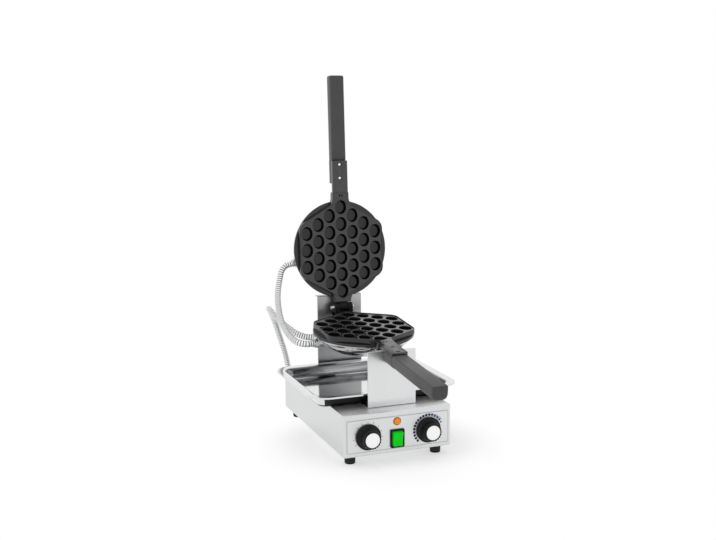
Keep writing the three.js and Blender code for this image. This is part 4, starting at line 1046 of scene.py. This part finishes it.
def cup(place, polygon, bed, steps=12):
    """One cup and the land round it, as rings from the cell's outline b to the ellipse e and down
    the cup: first r = e + f (b - e) at the land's softened edge, then r = share * e."""
    centre = np.array(place)
    share = np.linspace(0, 1, steps, endpoint=False)[None, :, None]
    following = np.roll(polygon, -1, axis=0)
    outline = (polygon[:, None] * (1 - share) + following[:, None] * share).reshape(-1, 2) - centre
    reach = np.linalg.norm(outline, axis=1)
    ray = outline / reach[:, None]
    ellipse = 1 / np.sqrt((ray[:, 0] / CUP_HALF_X) ** 2 + (ray[:, 1] / CUP_HALF_Y) ** 2)
    land = np.array([(1.0, 0.0), (0.55, 0.0), (0.34, -0.05), (0.19, -0.18), (0.08, -0.42), (0.0, -0.9)])
    wall = np.array([(0.975, -1.8), (0.955, -3.2), (0.93, -5.4), (0.9, -7.8), (0.87, -9.6),
                     (0.835, -10.7), (0.78, -11.25), (0.7, -11.45), (0.45, -11.5), (0.15, -11.5)])
    radius = np.concatenate([ellipse + land[:, :1] * (reach - ellipse), wall[:, :1] * ellipse])
    height = np.concatenate([land[:, 1], wall[:, 1]]) + bed
    points = np.concatenate([centre + ray[None] * radius[..., None],
                             np.broadcast_to(height[:, None, None], radius.shape + (1,))], axis=-1)
    return surface(points, cap_last=True)


def hexagon_ring(inset, height, steps=8):
    """The outline of the land drawn in by an inset. Its two corners on the y axis are sharper
    than the four at the sides."""
    radius = HEX_CORNER - inset * 2 / math.sqrt(3)
    corners = rays(np.radians(np.arange(30, 390, 60))) * radius
    radii = [SIDE_CORNER, END_CORNER, SIDE_CORNER, SIDE_CORNER, END_CORNER, SIDE_CORNER]
    outline = rounded(corners, radii, steps, closed=True)
    return np.insert(outline, 2, height, axis=1)


def cast_land():
    """The raised hexagon: its cups, and a rim that stands round them."""
    places = cup_places()
    bed = LAND_TOP - WEB
    cups = [cup(place, cell_of(place, places, FLAT / 2 - RIM), bed) for place in places]
    profile = rounded([(0.0, DISC_TOP - 0.4), (-0.5, DISC_TOP + 0.8), (0.0, LAND_TOP),
                       (RIM, LAND_TOP), (RIM + 0.02, bed - 0.3)], [0, 0.6, 0.7, 0.5, 0], 4)
    return joined(*cups), surface(np.array([hexagon_ring(*row) for row in profile]))


def cast_disc(sides=192):
    """The round flange under the land. Its upper face runs from just inside the hexagon,
    r = min(hexagon - sunk, R - shoulder), to the rounded edge."""
    sunk, shoulder, edge_in, under_radius, deep = 1.0, 1.9, -1.8, 60.0, 4.6
    angle = turn_steps(sides)
    inner = np.minimum(hexagon_reach(FLAT, angle) - sunk, DISC_RADIUS - shoulder)
    edge = rounded([(edge_in, DISC_TOP), (0, DISC_TOP), (0, DISC_BOTTOM), (edge_in, DISC_BOTTOM)],
                   1.4, 5)
    radius = np.concatenate([[inner, inner], DISC_RADIUS + edge[:, :1] + np.zeros((1, sides)),
                             np.full((1, sides), under_radius)])
    height = np.concatenate([[DISC_TOP - deep, DISC_TOP], edge[:, 1], [DISC_BOTTOM]])
    return surface(turned(radius, height[:, None], angle), cap_first=True, cap_last=True)


def section_ring(half, top, bottom, edge, steps=4):
    """A rectangle in (x, z) with rounded corners and a point in the middle of its top and bottom,
    as one ring of points."""
    corners = [(half, bottom), (half, top), (0, top), (-half, top), (-half, bottom), (0, bottom)]
    return rounded(corners, [edge, edge, 0, edge, edge, 0], steps, closed=True)


def arm(rows, edge=1.0):
    """A bar along y. Each row is (y, half width, top, bottom, bend): its section is a rounded
    rectangle, and bend pulls it back by bend * |x| / sqrt(3), so that it meets the hexagon. The
    first row folds flat onto its own middle height, which closes the bar along that bent line."""
    rings = []
    for y, half, top, bottom, bend in rows:
        ring = section_ring(half, top, bottom, edge)
        pulled = y - np.abs(ring[:, 0]) * bend / math.sqrt(3)
        rings.append(np.stack([ring[:, 0], pulled, ring[:, 1]], axis=-1))
    folded = rings[0].copy()
    folded[:, 2] = folded[:, 2].mean()
    return surface(np.array([folded] + rings), cap_last=True)


def flared_rows(end, half_start, half_end, bend_lost, count=6):
    """An arm's rows from just inside the hexagon's corner, with a concave flare:
    half = end + (start - end) (1 - s)^2. The bend goes from 1 to what is left of it."""
    start = HEX_CORNER - 0.8
    s = np.linspace(0, 1, count)
    y = start + (end - start) * s
    half = half_end + (half_start - half_end) * (1 - s) ** 2
    bend = 1 - np.linspace(0, bend_lost, count)
    return [(y[i], half[i], LAND_TOP, DISC_BOTTOM, bend[i]) for i in range(count)]


def cast_tang():
    """The tang from the hexagon's front corner to the groove, then the lug that holds the handle."""
    rows = flared_rows(109.0, 22.5, TANG_HALF, 0.85)
    rows += [(TANG_END - 1.8, TANG_HALF, LAND_TOP, DISC_BOTTOM, 0),
             (TANG_END - 1.4, TANG_HALF - 0.2, LAND_TOP, DISC_BOTTOM + 0.4, 0),
             (TANG_END - 1.2, TANG_HALF - 0.5, LAND_TOP - 0.8, DISC_BOTTOM + 1.0, 0),
             (TANG_END - 0.2, TANG_HALF - 0.8, LAND_TOP - 0.8, DISC_BOTTOM + 2.0, 0),
             (TANG_END, LUG_HALF, LAND_TOP, LUG_BOTTOM - 0.5, 0),
             (TANG_END + 1.5, LUG_HALF, LAND_TOP, LUG_BOTTOM, 0),
             (LUG_END - 1.2, LUG_HALF, LAND_TOP, LUG_BOTTOM, 0),
             (LUG_END - 0.4, LUG_HALF - 0.4, LAND_TOP - 0.3, LUG_BOTTOM + 0.3, 0),
             (LUG_END, LUG_HALF - 1.0, LAND_TOP - 1.0, LUG_BOTTOM + 0.8, 0)]
    forwards = np.diag([1.0, -1.0, 1.0, 1.0])
    return at(arm(rows, 0.8), forwards)


NECK_HALF, NECK_END = 17.0, 110.5
EAR_INNER, EAR_OUTER, EAR_RADIUS, KNUCKLE_RADIUS = 9.7, 19.5, 9.5, 9.0
BOSS_RADIUS, BOSS_FRONT, BOSS_BACK = 11.0, 132.1, 137.7


def cast_neck():
    """The neck from the hexagon's rear corner to the hinge."""
    rows = flared_rows(109.4, 23.5, NECK_HALF, 0.95)
    rows += [(NECK_END - 0.3, NECK_HALF - 0.2, LAND_TOP - 0.1, DISC_BOTTOM, 0),
             (NECK_END, NECK_HALF - 0.8, LAND_TOP - 0.6, DISC_BOTTOM + 0.4, 0)]
    return arm(rows, 0.9)


def standing_ear(x0, x1):
    """A lug round the pin: a half circle on two straight legs, pushed along x."""
    legs = [(HINGE_BACK - EAR_RADIUS, DISC_BOTTOM), (HINGE_BACK + EAR_RADIUS, DISC_BOTTOM)]
    outline = np.concatenate([arc((HINGE_BACK, HINGE_RISE), EAR_RADIUS, 0, 180, 24), legs])
    return at(prism(outline, x0, x1), SIDEWAYS)


def lower_hinge():
    """The bed under the knuckle, two ears and the round boss that takes the pivot shaft."""
    bed_top = -5.0
    bed = box((-EAR_OUTER, NECK_END - 2, DISC_BOTTOM), (EAR_OUTER, BOSS_BACK - 0.2, bed_top))
    boss_outline = np.concatenate([arc((0, 0), BOSS_RADIUS, 0, 180, 32),
                                   [(-BOSS_RADIUS, DISC_BOTTOM), (BOSS_RADIUS, DISC_BOTTOM)]])
    boss = at(prism(boss_outline, -BOSS_BACK, -BOSS_FRONT), FORWARD)
    return [bed, standing_ear(-EAR_OUTER, -EAR_INNER), standing_ear(EAR_INNER, EAR_OUTER), boss]


def upper_hinge():
    """The knuckle between the ears, and the arm that joins it to the neck, in the closed mould."""
    half, arm_start = 9.2, NECK_END - 2
    meet = math.degrees(math.asin((HINGE_RISE + LAND_TOP) / KNUCKLE_RADIUS))
    outline = np.concatenate([[(arm_start, -LAND_TOP), (arm_start, HINGE_RISE + KNUCKLE_RADIUS)],
                              arc((HINGE_BACK, HINGE_RISE), KNUCKLE_RADIUS, 90, -180 + meet, 32)])
    return [at(prism(outline, -half, half), SIDEWAYS)]


MARK_PLACES = ((-2.7, 112.0), (2.7, 112.0))
MARK_HALF_X, MARK_HALF_Y = 1.7, 2.4
BORE_RADIUS, CUT_DEEP, CUT_OVER = 4.0, 4, 2
SCREW_PLACES = (148.0, 176.0)


def tang_cuts():
    """Two square marks in the tang, and the counterbores of the handle's screws in the lug."""
    floor = LAND_TOP - CUT_DEEP
    marks = [box((x - MARK_HALF_X, -y - MARK_HALF_Y, floor),
                 (x + MARK_HALF_X, -y + MARK_HALF_Y, CUT_OVER)) for x, y in MARK_PLACES]
    bore = lathe([(0, floor), (BORE_RADIUS, floor), (BORE_RADIUS, CUT_OVER), (0, CUT_OVER)])
    return marks + [at(bore, moved(0, -y, 0)) for y in SCREW_PLACES]


def make_casting(half, body, place, hinge_shapes, hinge_place):
    """One half of the mould. In its cups, painted shade makes the walls darker than the floors, and
    both darker than the land.
    """
    slot, nodes = "nonstick_casting", [half + "_plate"]
    bed = LAND_TOP - WEB
    wall_top, floor_top = bed - 0.7, bed - 10.9
    cups, rim = cast_land()
    cup_piece = piece(half + "_cups", cups, nonstick, body, nodes, place, closed=False,
                      sharp=60)
    heights = placed(face_numbers(cup_piece)[0], np.linalg.inv(place))[:, 2]
    # Painted shade: the cup walls are darkest, and the cup floors darker than the land.
    dress(cup_piece, (cup_wall_painted_shade, (heights < wall_top) & (heights >= floor_top)),
          (cup_floor_painted_shade, heights < floor_top))
    # The rim and the flange take the darker copy of the coat: painted shade on the sides.
    piece(half + "_rim", rim, nonstick_painted_shade, body, nodes, place, closed=False, sharp=50)
    piece(half + "_flange", cast_disc(), nonstick_painted_shade, body, nodes, place, sharp=50)
    piece(half + "_tang", cast_tang(), nonstick, body, nodes, place, cuts=tang_cuts(), sharp=30)
    piece(half + "_neck", cast_neck(), nonstick, body, nodes, place, sharp=40)
    piece(half + "_hinge", joined(*hinge_shapes), hinge_casting, body, nodes, hinge_place,
          bevel=0.9)


make_casting("lower", "lower_mould", MOULD, lower_hinge(), MOULD)
make_casting("upper", "upper_mould", UPPER, upper_hinge(), LID)

# Pans, heaters and glands

PAN_RIM, PAN_DEEP = 95.8, 31.5
PAN_TOP = DISC_BOTTOM - 0.3
PAN_SHARES = np.array([(1, 0.03), (0.968, 0.26), (0.907, 0.45), (0.825, 0.6), (0.722, 0.83),
                       (0.62, 1)])


def pan_profile():
    """Radius and height of the dish's outside, from its rim to its flat middle."""
    return PAN_SHARES * np.array([PAN_RIM, -PAN_DEEP]) + np.array([0, PAN_TOP])


def dish_radius(level):
    """The dish's outer radius at a level under the plane where the halves meet."""
    outer = pan_profile()
    return float(np.interp(level, -outer[:, 1], outer[:, 0]))


def make_pan(half, body, place):
    """The dish under the casting, turned as one solid, with the washer and nut in its middle."""
    bottom = PAN_TOP - PAN_DEEP
    rim = [(PAN_RIM - 2.0, PAN_TOP - 0.6), (PAN_RIM - 1.0, PAN_TOP), (PAN_RIM, PAN_TOP),
           (PAN_RIM, PAN_TOP - 2.2), (PAN_RIM - 0.9, PAN_TOP - 2.8)]
    corners = np.concatenate([[(0, PAN_TOP - 2)], rim, pan_profile()[1:], [(0, bottom)]])
    profile = rounded(corners, [0, 0.4, 0.8, 1.1, 1.1, 0.5, 14, 18, 16, 18, 26, 0], 8)
    piece(half + "_pan_dish", lathe(profile, 160), polished_steel, body,
          [half + "_pan"], place, sharp=50)

    washer, washer_top, washer_bottom = 9.0, bottom + 0.2, bottom - 1.0
    washer_corners = [(0, washer_top), (washer, washer_top), (washer, washer_bottom),
                      (0, washer_bottom)]
    thread, flats, nut, nut_top, nut_bottom = 4.0, 12.2, 7.0, bottom - 0.8, bottom - 0.3 - 4.0
    nut_corners = [(0, nut_top), (nut, nut_top), (nut, nut_bottom + 0.9),
                   (nut - 1.4, nut_bottom + 0.5), (thread, nut_bottom), (0, nut_bottom)]
    shape = joined(lathe(rounded(washer_corners, 0.3, 3), 64),
                   hexagonal(rounded(nut_corners, [0, 0.1, 0.4, 0.5, 1.2, 0], 3), flats))
    piece(half + "_pan_nut", shape, zinc_steel, body, [half + "_pan_screw"], place,
          sharp=40)
    keep_node(half + "_heater", heater_steel, 0.2)


GLAND_THREAD, GLAND_NUT, GLAND_NUT_HIGH, GLAND_FLATS = 7.2, 9.5, 6.0, 16.6
GLAND_SLEEVE, GLAND_SLEEVE_BORE, GLAND_SLEEVE_LONG = 7.8, 6.7, 4.5


def gland(thread):
    """A threaded stub, a hexagon nut with chamfered corners and an open sleeve, along +z."""
    chamfer_in, chamfer_down, overlap, bore_deep = 0.9, 0.8, 0.3, 2
    nut_end = thread + GLAND_NUT_HIGH
    sleeve_start, sleeve_end = nut_end - 0.2, nut_end + GLAND_SLEEVE_LONG
    stub_end, floor = thread + overlap, sleeve_end - bore_deep
    stub = lathe([(0, 0), (GLAND_THREAD, 0), (GLAND_THREAD, stub_end), (0, stub_end)], 48)
    nut_corners = [(0, thread), (GLAND_NUT - chamfer_in, thread),
                   (GLAND_NUT, thread + chamfer_down), (GLAND_NUT, nut_end - chamfer_down),
                   (GLAND_NUT - chamfer_in, nut_end), (0, nut_end)]
    nut = hexagonal(rounded(nut_corners, [0, 0.3, 0.3, 0.3, 0.3, 0], 3), GLAND_FLATS)
    sleeve_corners = [(0, sleeve_start), (GLAND_SLEEVE - 0.6, sleeve_start),
                      (GLAND_SLEEVE, nut_end + 0.6), (GLAND_SLEEVE, sleeve_end),
                      (GLAND_SLEEVE_BORE, sleeve_end), (GLAND_SLEEVE_BORE, floor), (0, floor)]
    sleeve = lathe(rounded(sleeve_corners, [0, 0.3, 0.5, 0.5, 0.2, 0.1, 0], 3), 48)
    return joined(stub, nut, sleeve)


def port_place(angle, level):
    """A gland's place in the lower half: along a radius of the dish at a level under the plane."""
    sunk, clear = 2.0, 0.3
    start = dish_radius(level + GLAND_THREAD) - sunk
    thread = dish_radius(level - GLAND_NUT) + clear - start
    radians = math.radians(angle)
    outward = np.array([math.cos(radians), math.sin(radians), 0])
    up = np.array([0, 0, 1.0])
    matrix = np.eye(4)
    matrix[:3, :3] = np.stack([np.cross(up, outward), up, outward], axis=-1)
    matrix[:3, 3] = outward * start - up * level
    return matrix, thread


def make_glands():
    """The conduits' glands on the two pans and on the base, and the mains lead's gland."""
    for node, angle, level, body, place in (
            ("lower_supply_gland", 150.5, 33, "lower_mould", MOULD),
            ("lower_jumper_gland", 180, 29, "lower_mould", MOULD),
            ("upper_jumper_gland", 165, 31, "upper_mould", UPPER)):
        port, thread = port_place(angle, level)
        piece(node + "_fitting", at(gland(thread), port), zinc_steel, body, [node],
              place, sharp=40)

    supply_thread = 8.0
    low, _, middle = node_box("supply_gland")
    piece("supply_gland_fitting", gland(supply_thread), zinc_steel, "base",
          ["supply_gland"], moved(middle[0], low[1], middle[2]) @ ALONG_Y, sharp=40)

    low, high, middle = node_box("mains_gland")
    length, thread, seat, bore = high[1] - low[1], 7, 9, 4.4
    nut, nut_end, chamfer, flats = 11, 15, 0.8, 19.4
    thread_corners = [(0, 0), (thread, 0), (thread, seat), (0, seat)]
    nut_corners = [(0, seat), (nut - chamfer, seat), (nut, seat + chamfer),
                   (nut, nut_end - chamfer), (nut - chamfer, nut_end), (0, nut_end)]
    dome_corners = [(bore, nut_end - 0.5), (9.2, nut_end - 0.5), (8.6, nut_end + 2.5),
                    (6.4, length), (bore, length)]
    dome = rounded(dome_corners, [0.1, 0.5, 2, 0.8, 0.3], 4, closed=True)
    shape = joined(lathe(thread_corners, 40),
                   hexagonal(rounded(nut_corners, [0, 0.3, 0.3, 0.3, 0.3, 0], 3), flats),
                   lathe(dome, 48, capped=False))
    piece("mains_gland_fitting", shape, gland_plastic, "base", ["mains_gland"],
          moved(middle[0], low[1], middle[2]) @ ALONG_Y, sharp=40)


make_pan("lower", "lower_mould", MOULD)
make_pan("upper", "upper_mould", UPPER)
make_glands()

# Handles


def grip_ring(inset, top):
    """A section with a flat inner face and a rounded back, drawn in by an inset."""
    half, bottom = GRIP_HALF - inset, GRIP_BOTTOM + inset
    corners = [(half, top - inset), (-half, top - inset), (-half, bottom), (half, bottom)]
    return rounded(corners, [3.4, 3.4, 12.5 - inset, 12.5 - inset], 8, closed=True)


def make_handle(half, body, place):
    """The bar, thinner where the lug lies in it, and the heads of its two screws."""
    rebate, step = LUG_BOTTOM - 0.3, LUG_END + 0.3
    rows = [(GRIP_START, 1.4, rebate), (GRIP_START + 0.4, 0.5, rebate),
            (GRIP_START + 1.4, 0, rebate), (step - 0.05, 0, rebate), (step, 0, rebate + 0.02),
            (step, 0.3, GRIP_TOP), (step + 0.5, 0, GRIP_TOP), (GRIP_END - 4.0, 0, GRIP_TOP),
            (GRIP_END - 2.2, 0.4, GRIP_TOP), (GRIP_END - 1.0, 1.1, GRIP_TOP),
            (GRIP_END - 0.3, 2.2, GRIP_TOP), (GRIP_END, 3.4, GRIP_TOP)]
    rings = [np.insert(grip_ring(inset, top), 1, -y, axis=1) for y, inset, top in rows]
    shape = surface(np.array(rings), cap_first=True, cap_last=True)
    piece(half + "_handle_bar", shape, bakelite, body, [half + "_handle"], place,
          sharp=40)
    head_radius, head_high, seat = 3.5, 2.5, LAND_TOP - 3.9
    for side, y in zip(("inner", "outer"), SCREW_PLACES):
        head = at(screw_head(head_radius, head_high), moved(0, -y, seat))
        piece(f"{half}_handle_{side}_screw", head, screw_steel, body,
              [f"{half}_handle_screw_{side}"], place, sharp=50)


make_handle("lower", "lower_mould", MOULD)
make_handle("upper", "upper_mould", UPPER)

# Pin, pivot shaft and its nut


def make_hinge_pin():
    """A rod with a head at one end and a groove near the other."""
    rod, groove, head = 3.9, 3.2, 5.5
    start, groove_start, groove_end, seat, stop = -27.0, -23.5, -22.3, 19.8, 22.8
    corners = [(0, start), (rod, start), (rod, groove_start - 0.1), (groove, groove_start + 0.1),
               (groove, groove_end - 0.1), (rod, groove_end + 0.1), (rod, seat), (head, seat),
               (head, stop), (0, stop)]
    profile = rounded(corners, [0, 0.8, 0.1, 0.1, 0.1, 0.1, 0.1, 0.4, 0.9, 0], 4)
    piece("hinge_pin_rod", at(lathe(profile), moved(0, HINGE_BACK, HINGE_RISE) @ ALONG_X),
          zinc_steel, "lower_mould", ["hinge_pin"], MOULD, sharp=50)


def make_pivot():
    """The shaft that the mould turns on, and the nut on its rear end."""
    rod, start, stop = 7, 134.0, 162.1
    corners = [(0, start), (rod, start), (rod, stop), (0, stop)]
    profile = rounded(corners, [0, 0.5, 1.2, 0], 4)
    piece("pivot_rod", at(lathe(profile), ALONG_Y), zinc_steel, "lower_mould",
          ["pivot_shaft"], MOULD, sharp=50)
    nut, chamfer, flats, nut_start, nut_stop = 12, 0.8, 21.0, stop - 8.3, stop - 0.3
    corners = [(0, nut_start), (nut - chamfer, nut_start), (nut, nut_start + 1),
               (nut, nut_stop - 1), (nut - chamfer, nut_stop), (0, nut_stop)]
    shape = hexagonal(rounded(corners, [0, 0.4, 0.4, 0.4, 0.4, 0], 3), flats)
    piece("pivot_hex_nut", at(shape, ALONG_Y), zinc_steel, "lower_mould",
          ["pivot_nut"], MOULD, sharp=40)


make_hinge_pin()
make_pivot()

# Floor, lights and world


WHITE = (1, 1, 1, 1)


def any_ray(tree, *kinds):
    """One for a ray of any of the kinds, and zero for the others."""
    path = tree.nodes.new("ShaderNodeLightPath")
    found = path.outputs[kinds[0]]
    for kind in kinds[1:]:
        found = add_node(tree, "ShaderNodeMath", "Value", {0: found, 1: path.outputs[kind]},
                         operation="MAXIMUM")
    return found


def make_floor():
    """A pale floor that keeps the shadow near the appliance and is plain white further out."""
    half, grey, glow, shadow_edge, white_edge = 6.0, 0.62, 0.5, 0.15, 0.27
    corners = [(-half, -half, 0), (half, -half, 0), (half, half, 0), (-half, half, 0)]
    mesh = bpy.data.meshes.new("floor")
    mesh.from_pydata(corners, [], [[0, 1, 2, 3]])
    floor = bpy.data.objects.new("floor", mesh)
    bpy.context.scene.collection.objects.link(floor)
    material = bpy.data.materials.new("floor_white")
    material.use_nodes = True
    tree = material.node_tree
    matte = tree.nodes["Principled BSDF"]
    for socket, value in {"Base Color": (grey, grey, grey, 1), "Roughness": 0.9,
                          "Specular IOR Level": 0.1, "Emission Color": WHITE,
                          "Emission Strength": glow}.items():
        matte.inputs[socket].default_value = value
    white = add_node(tree, "ShaderNodeEmission", "Emission", {"Color": WHITE})
    place = add_node(tree, "ShaderNodeTexCoord", "Object", {})
    distance = add_node(tree, "ShaderNodeVectorMath", "Value", {0: place}, operation="LENGTH")
    fade = add_node(tree, "ShaderNodeMapRange", "Result",
                    {"Value": distance, "From Min": shadow_edge, "From Max": white_edge},
                    interpolation_type="SMOOTHSTEP")
    seen = any_ray(tree, "Is Camera Ray", "Is Glossy Ray")
    factor = add_node(tree, "ShaderNodeMath", "Value", {0: fade, 1: seen}, operation="MULTIPLY")
    mix = add_node(tree, "ShaderNodeMixShader", "Shader",
                   {"Fac": factor, 1: matte.outputs["BSDF"], 2: white})
    tree.links.new(mix, tree.nodes["Material Output"].inputs["Surface"])
    mesh.materials.append(material)


def make_world():
    """White where the camera, a mirror or glass looks at it, and a soft grey light elsewhere."""
    soft, full = 0.26, 1.0
    world = bpy.data.worlds.new("studio")
    bpy.context.scene.world = world
    world.use_nodes = True
    tree = world.node_tree
    background = tree.nodes["Background"]
    background.inputs["Color"].default_value = WHITE
    seen = any_ray(tree, "Is Camera Ray", "Is Glossy Ray", "Is Transmission Ray")
    strength = add_node(tree, "ShaderNodeMapRange", "Result",
                        {"Value": seen, "To Min": soft, "To Max": full})
    tree.links.new(strength, background.inputs["Strength"])


def soft_light(name, place, target, size, power):
    """A rectangular lamp aimed at a target, which shiny surfaces don't mirror."""
    light = bpy.data.lights.new(name, "AREA")
    light.shape = "RECTANGLE"
    light.size, light.size_y = size
    light.energy = power
    lamp = bpy.data.objects.new(name, light)
    aim = (Vector(target) - Vector(place)).to_track_quat("-Z", "Y")
    lamp.matrix_world = Matrix.Translation(place) @ aim.to_matrix().to_4x4()
    lamp.visible_glossy = False
    bpy.context.scene.collection.objects.link(lamp)


make_floor()
make_world()
AIM = (0, 0.05, 0.25)
soft_light("key", (-2.3, 0.0, 1.4), AIM, (2.2, 2.0), 31)
soft_light("fill", (1.9, -0.7, 1.2), AIM, (2.0, 2.0), 9)
soft_light("top", (0.1, 0.2, 2.2), AIM, (2.2, 2.2), 18)

bpy.context.scene.view_settings.view_transform = "Standard"
